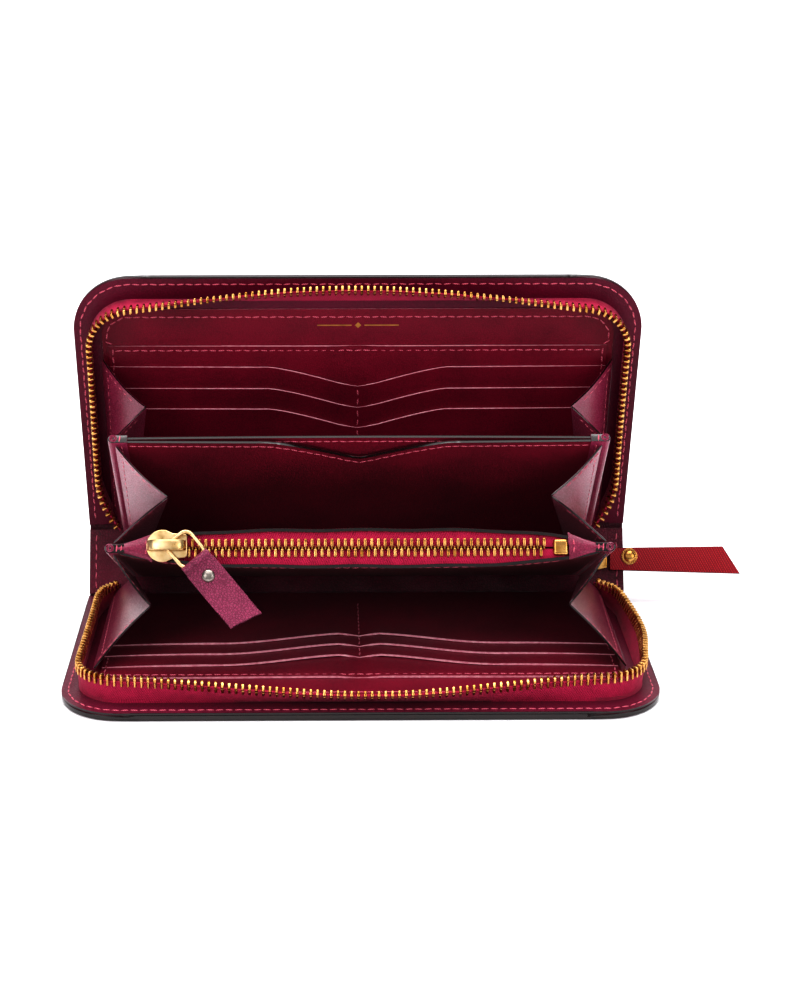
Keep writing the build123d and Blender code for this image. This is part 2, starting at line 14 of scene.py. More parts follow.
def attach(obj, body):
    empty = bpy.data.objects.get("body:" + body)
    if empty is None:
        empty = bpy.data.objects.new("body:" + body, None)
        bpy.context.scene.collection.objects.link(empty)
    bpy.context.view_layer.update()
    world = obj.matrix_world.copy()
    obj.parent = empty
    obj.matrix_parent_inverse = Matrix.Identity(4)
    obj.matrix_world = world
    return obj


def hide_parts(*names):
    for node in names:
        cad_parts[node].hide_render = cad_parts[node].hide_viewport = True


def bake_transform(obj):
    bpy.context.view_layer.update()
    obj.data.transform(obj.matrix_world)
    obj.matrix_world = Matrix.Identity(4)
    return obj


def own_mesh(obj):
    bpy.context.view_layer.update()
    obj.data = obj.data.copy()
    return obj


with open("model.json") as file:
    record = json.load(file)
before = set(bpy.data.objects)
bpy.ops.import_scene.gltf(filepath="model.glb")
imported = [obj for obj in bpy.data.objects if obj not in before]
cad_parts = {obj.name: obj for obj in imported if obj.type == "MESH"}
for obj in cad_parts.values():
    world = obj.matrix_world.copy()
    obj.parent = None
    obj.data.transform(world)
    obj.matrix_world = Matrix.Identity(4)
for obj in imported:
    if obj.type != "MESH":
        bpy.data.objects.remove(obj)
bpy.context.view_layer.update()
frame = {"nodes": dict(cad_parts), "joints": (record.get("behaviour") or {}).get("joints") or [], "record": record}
MM = 0.001

# ---- Sizes, in millimetres -----------------------------------------------------------
HALF_WIDTH = 97.5
DEPTH = 101.0
CORNER = 20.0
HALF_COVER = 1.35
LINING = 0.9
LEAF_DEPTH = 72.0
LEAF_HALF_WIDTH = 80.2
SHEET = 0.4                  # one layer of card leather
ZIP_SIDE = 92.0
ZIP_FRONT = 93.0
ZIP_CORNER = 15.0
ZIP_ROOT = 7.2
TAPE_HEIGHT = 7.5
TOOTH_PITCH = 2.16
COIN_PITCH = 2.18
COIN_ZIP_END = 66.0
STITCH_PITCH = 3.0
STITCH_LENGTH = 2.5

# ---- The frame's leaves --------------------------------------------------------------
JOINTS = {joint["name"]: joint for joint in frame["joints"]}
FOLLOWS = {pair["joint"]: pair["ratio"] for pair in frame["record"]["behaviour"]["couplings"]}
SHUT = JOINTS["cover_fold"]["range_deg"][1]


def joint_point(name):
    """Where a joint's axis passes, in metres."""
    return Vector(JOINTS[name]["pos_m"])


def leaf_angle(turn):
    """Rest angle of a leaf from +Y, from how far it turns to lie flat when shut."""
    return 180.0 - SHUT * turn


class Leaf:
    """A leaf: its body, its matrix, its way out from the fold, and the way its inner side faces."""

    def __init__(self, body, root, angle, inside=1):
        self.body = body
        self.out = Vector((0, cos(radians(angle)), sin(radians(angle))))
        self.up = inside * Vector((0, sin(radians(angle)), -cos(radians(angle))))
        turn = Matrix((Vector((1, 0, 0)), -self.out, self.up)).transposed().to_4x4()
        self.matrix = Matrix.Translation(root) @ turn @ Matrix.Scale(MM, 4)


SPINE_TURN = FOLLOWS["spine_fold"]
LOWER = Leaf("lower_cover", joint_point("spine_fold"), 180.0)
UPPER = Leaf("upper_cover", joint_point("cover_fold"), leaf_angle(SPINE_TURN + 1.0), inside=-1)
SPINE = Leaf("spine", joint_point("spine_fold"), 90.0 - SHUT * SPINE_TURN, inside=-1)
DIVIDER, COIN = (Leaf(body, joint_point(f"{body}_fold"), leaf_angle(SPINE_TURN + FOLLOWS[f"{body}_fold"]))
                 for body in ("divider", "coin_pocket"))
SPINE_HEIGHT = (UPPER.matrix.translation - LOWER.matrix.translation).length / MM
COVERS = (("lower", LOWER), ("upper", UPPER))
SIDES = ((-1, "left"), (1, "right"))


# ---- Materials -----------------------------------------------------------------------
WAVE = 0.314                 # a wave texture's scale for stripes one unit apart


def linear(code):
    """sRGB hex to linear colour."""
    parts = [int(code[i:i + 2], 16) / 255 for i in (1, 3, 5)]
    return [c / 12.92 if c <= 0.04045 else ((c + 0.055) / 1.055) ** 2.4 for c in parts] + [1.0]


def add_node(tree, kind, settings=None, inputs=None, links=None):
    """One node with its settings, its input values and the sockets that feed it."""
    node = tree.nodes.new(kind)
    for key, value in (settings or {}).items():
        setattr(node, key, value)
    for key, value in (inputs or {}).items():
        node.inputs[key].default_value = value
    for key, socket in (links or {}).items():
        tree.links.new(socket, node.inputs[key])
    return node


def start_material(name, shader):
    """A material with a Principled shader whose constant sockets are set directly."""
    material = bpy.data.materials.new(name)
    material.use_nodes = True
    tree = material.node_tree
    tree.nodes.clear()
    principled = add_node(tree, "ShaderNodeBsdfPrincipled", inputs=shader)
    add_node(tree, "ShaderNodeOutputMaterial", links={"Surface": principled.outputs["BSDF"]})
    place = add_node(tree, "ShaderNodeTexCoord")
    return material, tree, principled, place


def noise(tree, place, size, detail, **more):
    """Noise with grains about size millimetres across."""
    inputs = {"Scale": 1000 / size, "Detail": detail, **more}
    node = add_node(tree, "ShaderNodeTexNoise", None, inputs, {"Vector": place.outputs["Object"]})
    return node.outputs["Fac"]


def wave(tree, vector, direction, scale, **more):
    """Even stripes that run across a direction."""
    settings = {"bands_direction": direction, "wave_profile": "SIN"}
    node = add_node(tree, "ShaderNodeTexWave", settings, {"Scale": scale, **more}, {"Vector": vector})
    return node.outputs["Fac"]


def turned(tree, place, angle):
    """The flat pattern's coordinates, turned by an angle in degrees."""
    node = add_node(tree, "ShaderNodeMapping", None, {"Rotation": (0, 0, radians(angle))},
                    {"Vector": place.outputs["UV"]})
    return node.outputs["Vector"]


def add_share(tree, base, share, extra):
    """A pattern with a share of another one on top."""
    node = add_node(tree, "ShaderNodeMath", {"operation": "MULTIPLY_ADD"}, {1: share}, {0: extra, 2: base})
    return node.outputs["Value"]


def colour_by(tree, principled, factor, *stops):
    """Base colour from a pattern, through a ramp of (position, hex) stops."""
    node = add_node(tree, "ShaderNodeValToRGB", links={"Fac": factor})
    for element, (position, code) in zip(node.color_ramp.elements, stops):
        element.position = position
        element.color = linear(code)
    tree.links.new(node.outputs["Color"], principled.inputs["Base Color"])


def gloss_by(tree, principled, factor, low, high):
    """Roughness from a pattern, between two values."""
    node = add_node(tree, "ShaderNodeMapRange", None,
                    {"From Min": 0.3, "From Max": 0.7, "To Min": low, "To Max": high}, {"Value": factor})
    tree.links.new(node.outputs["Result"], principled.inputs["Roughness"])


def emboss(tree, principled, *layers):
    """Bumps over one another, each (strength, depth in millimetres, pattern)."""
    normal = None
    for strength, depth, height in layers:
        links = {"Height": height}
        if normal is not None:
            links["Normal"] = normal
        node = add_node(tree, "ShaderNodeBump", None, {"Strength": strength, "Distance": depth * MM}, links)
        normal = node.outputs["Normal"]
    tree.links.new(normal, principled.inputs["Normal"])


def leather(name, dark, light, grain, depth, roughness, coat=0.25, wrinkle=0.0):
    """Dyed, glazed calf leather. Pebbled grain cells with creases between them, and painted shade
    that darkens the colour in the creases; the glaze gives a broad soft shine with a thin clear top."""
    material, tree, principled, place = start_material(name, {
        "Specular IOR Level": 0.2, "Coat Weight": coat, "Coat Roughness": 0.28, "IOR": 1.5,
        "Sheen Weight": 0.06, "Sheen Roughness": 0.5})
    cells = add_node(tree, "ShaderNodeTexVoronoi", {"feature": "DISTANCE_TO_EDGE"},
                     {"Scale": 1000 / grain, "Randomness": 1.0}, {"Vector": place.outputs["Object"]})
    crease = add_node(tree, "ShaderNodeMapRange", {"interpolation_type": "SMOOTHSTEP"},
                      {"From Min": 0.0, "From Max": 0.22, "To Min": 0.0, "To Max": 1.0},
                      {"Value": cells.outputs["Distance"]}).outputs["Result"]
    pores = noise(tree, place, grain * 0.45, 4.0, Roughness=0.6)
    folds = noise(tree, place, 9.0, 3.0, Distortion=1.2)
    tone = noise(tree, place, 22.0, 3.0)
    # painted shade: the colour is darker in the grain's creases, where the cells meet
    colour_by(tree, principled, add_share(tree, tone, 0.35, crease), (0.25, dark), (0.95, light))
    gloss_by(tree, principled, pores, roughness - 0.06, roughness + 0.08)
    emboss(tree, principled, (min(1.0, depth), 0.12, crease), (0.35, 0.08, pores), (0.12 + wrinkle, 0.6, folds))
    return material


def edge_paint(name, dark, light, roughness):
    """Painted cut edge: several coats of a thick acrylic, a little lumpy, with a dull shine."""
    material, tree, principled, place = start_material(name, {
        "Roughness": roughness, "Coat Weight": 0.35, "Coat Roughness": 0.25, "IOR": 1.48})
    lumps = noise(tree, place, 1.6, 3.0)
    colour_by(tree, principled, lumps, (0.3, dark), (0.75, light))
    emboss(tree, principled, (0.3, 0.12, lumps))
    return material


def twill(name, dark, light):
    """Polyester zip tape in a fine twill: slanted ribs with threads across them."""
    material, tree, principled, place = start_material(name, {
        "Roughness": 0.78, "Sheen Weight": 0.12, "Sheen Roughness": 0.4, "IOR": 1.46})
    ribs = wave(tree, turned(tree, place, 32), "X", WAVE / 0.62, **{
        "Distortion": 1.2, "Detail": 1.0, "Detail Scale": 3.0})
    threads = wave(tree, place.outputs["UV"], "Y", WAVE / 0.4, Distortion=0.6)
    weave = add_share(tree, ribs, 0.35, threads)
    fuzz = noise(tree, place, 3.0, 4.0)
    colour_by(tree, principled, add_share(tree, fuzz, 0.5, weave), (0.3, dark), (1.1, light))
    emboss(tree, principled, (0.8, 0.16, weave))
    return material


def thread(name, dark, light):
    """Waxed polyester sewing thread, twisted: fine slanted ridges and a low shine."""
    material, tree, principled, place = start_material(name, {
        "Roughness": 0.5, "Sheen Weight": 0.25, "IOR": 1.5})
    twist = wave(tree, place.outputs["Object"], "DIAGONAL", 1000 * WAVE / 0.35, Distortion=1.0)
    colour_by(tree, principled, twist, (0.2, dark), (0.9, light))
    emboss(tree, principled, (0.5, 0.06, twist))
    return material


def metal(name, dark, light, roughness, brushed=0.0):
    """Plated zinc or brass: the plating's colour, faint smears, and fine polishing marks."""
    material, tree, principled, place = start_material(name, {"Metallic": 1.0})
    smear = noise(tree, place, 4.0, 5.0)
    marks = noise(tree, place, 0.35, 2.0)
    colour_by(tree, principled, smear, (0.3, dark), (0.7, light))
    gloss_by(tree, principled, smear, roughness * 0.8, roughness * 1.3)
    emboss(tree, principled, (0.08 + brushed, 0.03, marks))
    return material


def saffiano(name, dark, light):
    """Cross-hatched calf leather: two sets of fine pressed ridges, waxed hard."""
    material, tree, principled, place = start_material(name, {
        "Roughness": 0.42, "Coat Weight": 0.15, "Coat Roughness": 0.3, "IOR": 1.5, "Specular IOR Level": 0.3})
    ridges = [wave(tree, turned(tree, place, angle), "X", WAVE / pitch, **{
        "Distortion": 1.5, "Detail": 2.0, "Detail Scale": 2.0}) for angle, pitch in ((28, 0.85), (-34, 0.7))]
    hatch = add_node(tree, "ShaderNodeMath", {"operation": "MULTIPLY"},
                     links={0: ridges[0], 1: ridges[1]}).outputs["Value"]
    colour_by(tree, principled, hatch, (0.05, dark), (0.6, light))
    emboss(tree, principled, (0.9, 0.14, hatch))
    return material


COVER_LEATHER = leather("grained_calf_outside", "#380616", "#560c26", 1.15, 1.0, 0.42, 0.12, wrinkle=0.25)
LINING_LEATHER = leather("glazed_calf_lining", "#4a0420", "#6c0a32", 0.8, 0.28, 0.36, 0.1)
PANEL_LEATHER = leather("glazed_calf_panel", "#5a041e", "#820a2e", 0.7, 0.2, 0.4, 0.04)
GUSSET_LEATHER = leather("glazed_calf_gusset", "#5e0e2c", "#963054", 0.9, 0.5, 0.25, 0.7, wrinkle=0.1)
PULL_LEATHER = leather("grained_calf_pull", "#561630", "#a04668", 0.85, 0.9, 0.34, 0.3)
DARK_EDGE = edge_paint("edge_paint_dark", "#100405", "#240f10", 0.2)
CUT_EDGE = edge_paint("cut_edge_pink", "#dc90a4", "#fac8d2", 0.5)
TAPE_CLOTH = twill("twill_tape", "#8c0a38", "#c42458")
THREAD = thread("waxed_thread", "#a4244a", "#ee8094")
GOLD = metal("polished_gold_plate", "#a87838", "#e6bc7c", 0.24)
SATIN_GOLD = metal("satin_gold_plate", "#ccaa72", "#f2dcb4", 0.32, 0.05)
NICKEL = metal("polished_nickel", "#6c645e", "#a8a09a", 0.28)
SAFFIANO = saffiano("cross_hatched_calf", "#7c0618", "#b4162a")
SPINE_LEATHER = leather("creased_calf_spine", "#3e0618", "#721434", 1.0, 0.8, 0.34, 0.25, wrinkle=0.6)
FOIL = metal("gold_foil", "#8c6430", "#c89858", 0.45)


# ---- Mesh helpers --------------------------------------------------------------------
def finish_piece(name, bm, materials, leaf_or_matrix, body, replaces=(), ride=True, smooth=40):
    """Makes the object from a bmesh in millimetres, puts it in place and on its body."""
    matrix = leaf_or_matrix.matrix if isinstance(leaf_or_matrix, Leaf) else leaf_or_matrix
    bmesh.ops.transform(bm, matrix=matrix, verts=bm.verts)
    bmesh.ops.recalc_face_normals(bm, faces=bm.faces)
    mesh = bpy.data.meshes.new(name)
    bm.to_mesh(mesh)
    bm.free()
    for material in materials:
        mesh.materials.append(material)
    for polygon in mesh.polygons:
        polygon.use_smooth = True
    mesh.set_sharp_from_angle(angle=radians(smooth))
    piece = bpy.data.objects.new(name, mesh)
    bpy.context.scene.collection.objects.link(piece)
    if replaces:
        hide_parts(*replaces)
    if ride:
        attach(piece, body)
    return piece


def verts_of(made):
    """The vertices in what an operator made."""
    return [g for g in made if isinstance(g, bmesh.types.BMVert)]


def faces_of(made):
    """The faces in what an operator made."""
    return {g for g in made if isinstance(g, bmesh.types.BMFace)}


def soften(bm, edges, offset, segments=2):
    """Rounds edges."""
    bmesh.ops.bevel(bm, geom=edges, offset=offset, segments=segments, profile=0.5, affect="EDGES", material=-1)


def sheet_mesh(bm, across, along, face, back, rounding=0.15, size=(1.0, 1.0), edge_slot=1):
    """A closed sheet: a grid whose points follow face(u, v) on one side and back(u, v) on the
    other, u from -1 to 1 and v from 0 to 1. The rim takes edge_slot and is rounded."""
    old = set(bm.faces)
    grid = bmesh.ops.create_grid(bm, x_segments=across, y_segments=along, size=1.0)["verts"]
    uv_layer = bm.loops.layers.uv.verify()
    faces = [f for f in bm.faces if f not in old]
    for f in faces:
        for loop in f.loops:
            loop[uv_layer].uv = (loop.vert.co.x * size[0], (loop.vert.co.y + 1) / 2 * size[1])
    places = [(vert, vert.co.x, (vert.co.y + 1) / 2) for vert in grid]
    made = bmesh.ops.extrude_face_region(bm, geom=faces, use_keep_orig=True)["geom"]
    for vert in verts_of(made):
        vert.co = back(vert.co.x, (vert.co.y + 1) / 2)
    for vert, u, v in places:
        vert.co = face(u, v)
    flat = set(faces) | faces_of(made)
    rim = {f for f in bm.faces if f not in old and f not in flat}
    for f in rim:
        f.material_index = edge_slot
    edges = [e for e in bm.edges if not flat.isdisjoint(e.link_faces) and not rim.isdisjoint(e.link_faces)]
    soften(bm, edges, rounding)


def block_mesh(bm, low, high, bevel, segments=2):
    """A rounded block between two corners."""
    verts = bmesh.ops.create_cube(bm, size=1.0)["verts"]
    middle = [(a + b) / 2 for a, b in zip(low, high)]
    size = [b - a for a, b in zip(low, high)]
    bmesh.ops.scale(bm, vec=size, verts=verts)
    bmesh.ops.translate(bm, vec=middle, verts=verts)
    if bevel:
        soften(bm, list({e for vert in verts for e in vert.link_edges}), bevel, segments)


def repeat(bm, template, matrices):
    """Copies of a template bmesh, one for each matrix."""
    mesh = bpy.data.meshes.new("template")
    template.to_mesh(mesh)
    template.free()
    for matrix in matrices:
        copy = mesh.copy()
        copy.transform(matrix)
        bm.from_mesh(copy)
        bpy.data.meshes.remove(copy)
    bpy.data.meshes.remove(mesh)


def axes_matrix(origin, x_axis, z_axis):
    """Matrix with x along x_axis and z along z_axis at an origin."""
    x = x_axis.normalized()
    z = (z_axis - x * z_axis.dot(x)).normalized()
    y = z.cross(x)
    turn = Matrix((x, y, z)).transposed().to_4x4()
    return Matrix.Translation(origin) @ turn


def stitch_template(length=STITCH_LENGTH, width=0.5, height=0.4):
    """One stitch: a short thread arched over the leather and sunk at both ends."""
    bm = bmesh.new()
    bmesh.ops.create_uvsphere(bm, u_segments=6, v_segments=5, radius=0.5,
                              matrix=Matrix.Rotation(pi / 2, 4, "Y"))
    bmesh.ops.scale(bm, vec=(length, width, height), verts=bm.verts)
    return bm


def stitch_line(points, normals, pitch=STITCH_PITCH):
    """Matrices of stitches at even steps along a run of points."""
    lengths = [0.0]
    for a, b in zip(points, points[1:]):
        lengths.append(lengths[-1] + (b - a).length)
    count = max(1, int(lengths[-1] / pitch))
    step = lengths[-1] / count
    matrices = []
    k = 0
    for n in range(count):
        target = (n + 0.5) * step
        while k < len(lengths) - 2 and lengths[k + 1] < target:
            k += 1
        share = (target - lengths[k]) / max(lengths[k + 1] - lengths[k], 1e-9)
        place = points[k].lerp(points[k + 1], share)
        slant = 0.10 * (1 if n % 2 else -1)
        along = (points[k + 1] - points[k]).normalized()
        side = normals[k].cross(along)
        matrices.append(axes_matrix(place, along + side * slant, normals[k]))
    return matrices


def straight(a, b, steps=1):
    """Even points from a to b."""
    a, b = Vector(a), Vector(b)
    return [a.lerp(b, k / steps) for k in range(steps + 1)]


def stitching(name, lines, leaf, pitch=STITCH_PITCH):
    """One piece of thread from several stitch lines, each (points, normal) on the leaf."""
    bm = bmesh.new()
    matrices = []
    for points, normal in lines:
        matrices += stitch_line(points, [Vector(normal)] * len(points), pitch)
    repeat(bm, stitch_template(STITCH_LENGTH, 0.55, 0.42), matrices)
    finish_piece(name, bm, [THREAD], leaf, leaf.body)


def cover_half_width(r, inset):
    """Half width of a cover's outline at a distance from its fold."""
    radius = CORNER - inset
    centre = DEPTH - CORNER
    if r <= centre:
        return HALF_WIDTH - inset
    rise = min(r - centre, radius)
    return HALF_WIDTH - CORNER + sqrt(max(radius * radius - rise * rise, 0.0))


def corner_spacing(v, near, far, start):
    """Distance from the fold for v: even to the corner's start, then closer round the arc."""
    bend = 0.55
    if v <= bend:
        return near + (start - near) * v / bend
    return start + (far - start) * sin((v - bend) / (1 - bend) * pi / 2)


# ---- Covers and spine ----------------------------------------------------------------
FOLD_STEPS = 8
FOLD_FILL = 0.8              # how far the skin's inner side fills the fold
FOLD_FILL_WIDTH = 1.2
FOLD_CLEAR = 1.68            # linings start this far from a fold, so that they clear when shut
EDGE_STITCH = 2.2            # edge stitches, in from the cover's edge


def cover_rows(near, inset, steps):
    """Distances from the fold for a cover sheet's rows, closer together round the corner."""
    return [corner_spacing(k / steps, near, DEPTH - inset, DEPTH - CORNER) for k in range(steps + 1)]


def cover_sheet(bm, low, high, near, inset, across=40, along=30, rounding=0.2):
    """A sheet with the cover's outline, from h = low to h = high."""
    rows = cover_rows(near, inset, along)

    def place(h):
        def point(u, v):
            r = rows[round(v * along)]
            return Vector((u * cover_half_width(r, inset), -r, h))
        return point

    sheet_mesh(bm, across, along, place(high), place(low), rounding, (HALF_WIDTH, DEPTH))


def cover_skin(side_name, cover):
    """Outer leather of one cover, bent round its fold and up half of the spine."""
    bm = bmesh.new()
    rows = list(reversed(cover_rows(3.0, 0.0, 30)))
    outer, inner, widths = [], [], []
    for r in rows:
        outer.append((-r, -HALF_COVER))
        inner.append((-r, HALF_COVER - LINING))
        widths.append(cover_half_width(r, 0.0))
    spine_out = SPINE.out if cover is LOWER else -SPINE.out
    along = Vector((-spine_out.dot(cover.out), spine_out.dot(cover.up)))
    side = Vector((along.y, -along.x))
    start = atan2(-1.0, 0.0)
    sweep = atan2(side.y, side.x) - start
    middle = start + sweep / 2
    inward = Vector((-cos(middle), -sin(middle)))
    onward = Vector((-sin(middle), cos(middle)))
    for k in range(FOLD_STEPS + 1):
        angle = start + sweep * k / FOLD_STEPS
        outer.append((HALF_COVER * cos(angle), HALF_COVER * sin(angle)))
        inner.append(tuple(inward * FOLD_FILL + onward * FOLD_FILL_WIDTH * (k / FOLD_STEPS - 0.5)))
        widths.append(HALF_WIDTH)
    for k in range(1, FOLD_STEPS + 1):
        reach = SPINE_HEIGHT / 2 * k / FOLD_STEPS
        outer.append(tuple(along * reach + side * HALF_COVER))
        inner.append(tuple(along * reach - side * (HALF_COVER - LINING)))
        widths.append(HALF_WIDTH)
    last = len(outer) - 1

    def place(run):
        def point(u, v):
            k = round(v * last)
            return Vector((u * widths[k], run[k][0], run[k][1]))
        return point

    sheet_mesh(bm, 44, last, place(outer), place(inner), 0.35, (HALF_WIDTH, DEPTH + SPINE_HEIGHT / 2))
    gone = [f"{side_name}_cover_leather", f"{side_name}_cover_board"]
    if cover is LOWER:
        gone.append("spine_leather")
    piece = finish_piece(f"{side_name}_cover_skin", bm, [COVER_LEATHER, DARK_EDGE], cover, cover.body,
                         gone, ride=False, smooth=50)
    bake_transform(piece)


def outline_run(inset, near, steps=24):
    """Run round a cover's three open sides at an inset, from the left root to the right."""
    radius = CORNER - inset
    bend = DEPTH - CORNER
    middle = HALF_WIDTH - CORNER
    edge = HALF_WIDTH - inset
    points = straight((-edge, -near, 0), (-edge, -bend, 0), 12)
    for side, turn in ((-1, range(1, steps + 1)), (1, range(steps, 0, -1))):
        if side > 0:
            points += straight((-middle, -DEPTH + inset, 0), (middle, -DEPTH + inset, 0), 24)[1:]
        for k in turn:
            angle = pi / 2 * k / steps
            points.append(Vector((side * (middle + radius * cos(angle)), -bend - radius * sin(angle), 0)))
    return points + straight((edge, -bend, 0), (edge, -near, 0), 12)


def cover_pieces(side, cover):
    """Lining and edge stitching of a cover."""
    bm = bmesh.new()
    cover_sheet(bm, HALF_COVER - LINING, HALF_COVER, FOLD_CLEAR, 0.12)
    finish_piece(f"{side}_lining_leather", bm, [LINING_LEATHER, DARK_EDGE], cover, cover.body,
                 [f"{side}_cover_lining"])
    lines = []
    for facing in (1, -1):
        level = facing * (HALF_COVER + 0.02)
        lines.append(([p + Vector((0, 0, level)) for p in outline_run(EDGE_STITCH, 4.0)], (0, 0, facing)))
    stitching(f"{side}_edge_stitching", lines, cover)


def spine_pieces():
    """Lining of the spine, softly creased, with its stitching near the ends."""
    bm = bmesh.new()
    half = HALF_WIDTH - 0.2

    def place(h):
        def point(u, v):
            r = FOLD_CLEAR + (SPINE_HEIGHT - 2 * FOLD_CLEAR) * v
            crease = 0.25 * sin(u * 31.0 + 2.0 * sin(v * 4.0)) * sin(pi * v) * sin(u * 7.0 + 1.0)
            return Vector((u * half, -r, h + (crease if h > 1 else 0.0)))
        return point

    sheet_mesh(bm, 120, 14, place(HALF_COVER), place(HALF_COVER - LINING), 0.2, (HALF_WIDTH, SPINE_HEIGHT))
    finish_piece("spine_lining_leather", bm, [SPINE_LEATHER, DARK_EDGE], SPINE, "spine",
                 ["spine_lining", "spine_stiffener"])
    lines = []
    for x in (-HALF_WIDTH + 2.4, HALF_WIDTH - 2.4):
        for facing, h in ((1, HALF_COVER + 0.05), (-1, -HALF_COVER - 0.02)):
            lines.append((straight((x, -3.0, h), (x, -SPINE_HEIGHT + 3.0, h), 6), (0, 0, facing)))
    stitching("spine_stitching", lines, SPINE)


# ---- Card panels ---------------------------------------------------------------------
CARD_ROOT = 4.0
BACKING_HALF = 88.0
BACKING_CORNER = 10.0
SLOT_HALF = 86.0
CARD_LAYERS = (              # node, mouth's distance in from the cover's edge, and its lift
    ("card_backing", 11.4, 0.0), ("bill_pocket", 25.4, 0.5),
    ("card_slot_1", 33.3, 0.95), ("card_slot_2", 41.6, 0.95), ("card_slot_3", 49.6, 0.95))
NOTCH_HALF = 31.0
SLOT_STITCH = 84.6           # stitches at the slots' ends
THREAD_LIFT = 0.05


def notch_share(x, start):
    """Depth of a shallow V notch, from 0 at |x| = start to 1 in the middle, softly rounded."""
    t = min(1.0, sqrt((x / start) ** 2 + 0.004))
    return (1 - t) ** 1.3 / (1 - 0.063) ** 1.3


def slot_top(side, x, edge):
    """Distance from the fold of a slot's mouth: straight at the ends and dipped in the middle,
    in a V on the upper panel and in a wide wave, pinched by the stitches, on the lower one."""
    if side == "upper":
        return DEPTH - edge - 8.0 * notch_share(x, NOTCH_HALF)
    t = min(1.0, abs(x) / 47.0)
    pinch = max(0.0, 1 - abs(x) / 3.5) ** 2
    sag = sin(pi * min(1.0, abs(x) / SLOT_HALF) ** 2)
    return DEPTH - edge - 8.6 * (0.5 + 0.5 * cos(pi * t)) + 0.9 * pinch - 0.7 * sag


def card_sheet(bm, half, near, top, level, lift, corner=0.0, across=72, along=14):
    """One layer of card leather; its mouth follows top(x) and lifts off the layer below."""
    def row(u, v):
        x = u * half
        far = top(x)
        if corner:
            rise = max(0.0, near + (far - near) * v - (far - corner))
            x = u * (half - corner + sqrt(max(corner * corner - rise * rise, 0.0)))
        return x, near + (far - near) * v

    def place(h, gain):
        def point(u, v):
            x, r = row(u, corner and corner_spacing(v, 0.0, 1.0, 0.85) or v)
            middle = max(0.0, 1 - (x / half) ** 2) * min(1.0, (x / 6.0) ** 2)
            return Vector((x, -r, h + gain * middle * v ** 6))
        return point

    sheet_mesh(bm, across, along, place(level + SHEET, lift), place(level - 0.35, lift), 0.08, (half, 60.0))


def card_panel(side, cover):
    """Backing, bill pocket and three card slots of one cover, with their stitching."""
    for k, (node, edge, lift) in enumerate(CARD_LAYERS):
        def top(x, edge=edge, slot=k > 1):
            return slot_top(side, x, edge) if slot else DEPTH - edge

        half, corner = (SLOT_HALF, 0.0) if k else (BACKING_HALF, BACKING_CORNER)
        bm = bmesh.new()
        card_sheet(bm, half, CARD_ROOT, top, HALF_COVER + SHEET * k, lift, corner)
        finish_piece(f"{side}_{node}_leather", bm, [PANEL_LEATHER, CUT_EDGE], cover, cover.body,
                     [f"{side}_{node}"])
    top_level = HALF_COVER + 5 * SHEET + THREAD_LIFT
    step = -(DEPTH - 50.4)
    lines = []
    for x in (-SLOT_STITCH, SLOT_STITCH):
        lines.append((straight((x, -5.0, top_level), (x, step, top_level), 8), (0, 0, 1)))
        far = (x, -(DEPTH - 26.2), HALF_COVER + 2 * SHEET + THREAD_LIFT)
        lines.append((straight((x, step, top_level - SHEET), far, 8), (0, 0, 1)))
    rim = [(SLOT_STITCH, -76.0), (86.4, -77.0)]
    for k in range(9):
        angle = pi / 2 * k / 8
        rim.append((78.0 + 8.4 * cos(angle), -(79.0 + 7.6 * sin(angle))))
    level = HALF_COVER + SHEET + THREAD_LIFT
    run = [Vector((x, y, level)) for x, y in rim]
    run += straight((77.0, -86.6, level), (-77.0, -86.6, level), 20)
    run += [Vector((-x, y, level)) for x, y in reversed(rim)]
    lines.append((run, (0, 0, 1)))
    pocket = (84.0, -(DEPTH - 27.0), HALF_COVER + 2 * SHEET + 0.3)
    lines.append((straight((-pocket[0], *pocket[1:]), pocket, 24), (0, 0, 1)))
    mouths = [slot_top(side, 0, edge) for _, edge, _ in CARD_LAYERS[2:]]
    for k, (far, near) in enumerate(zip(mouths, mouths[1:] + [14.0])):
        level = HALF_COVER + (3 + k) * SHEET + THREAD_LIFT
        lines.append((straight((0, -far + 0.6, level), (0, -near - 0.3, level), 4), (0, 0, 1)))
    stitching(f"{side}_panel_stitching", lines, cover, pitch=2.9)


def foil_mark():
    """Plain foil rule with a small lozenge, pressed into the upper card panel."""
    bm = bmesh.new()
    low, high = HALF_COVER + SHEET - 0.05, HALF_COVER + SHEET + 0.04
    for x0, x1 in ((-14.0, -2.2), (2.2, 14.0)):
        block_mesh(bm, (x0, -83.6, low), (x1, -83.15, high), 0)
    before = set(bm.verts)
    block_mesh(bm, (-0.8, -0.8, low), (0.8, 0.8, high), 0)
    lozenge = [vert for vert in bm.verts if vert not in before]
    bmesh.ops.rotate(bm, cent=(0, 0, 0), matrix=Matrix.Rotation(pi / 4, 3, "Z"), verts=lozenge)
    bmesh.ops.translate(bm, vec=(0, -83.38, 0), verts=lozenge)
    finish_piece("upper_foil_rule", bm, [FOIL], UPPER, "upper_cover")


# ---- The zip round the covers --------------------------------------------------------
SIDE_RUN = ZIP_FRONT - ZIP_CORNER - ZIP_ROOT
CORNER_RUN = ZIP_CORNER * pi / 2
FRONT_RUN = 2 * (ZIP_SIDE - ZIP_CORNER)
ZIP_RUN = 2 * SIDE_RUN + 2 * CORNER_RUN + FRONT_RUN
FLARE = 52.0                 # lean out at the middle of the front, in degrees
FLARE_HALF = 80.0
TUCK_RUN = 18.0              # the ends tuck in over this run
TUCK = {"lower": 3.0, "upper": 4.5}
SLIDER_LEVEL = 3.75          # zip slider's middle above the spine's mid plane


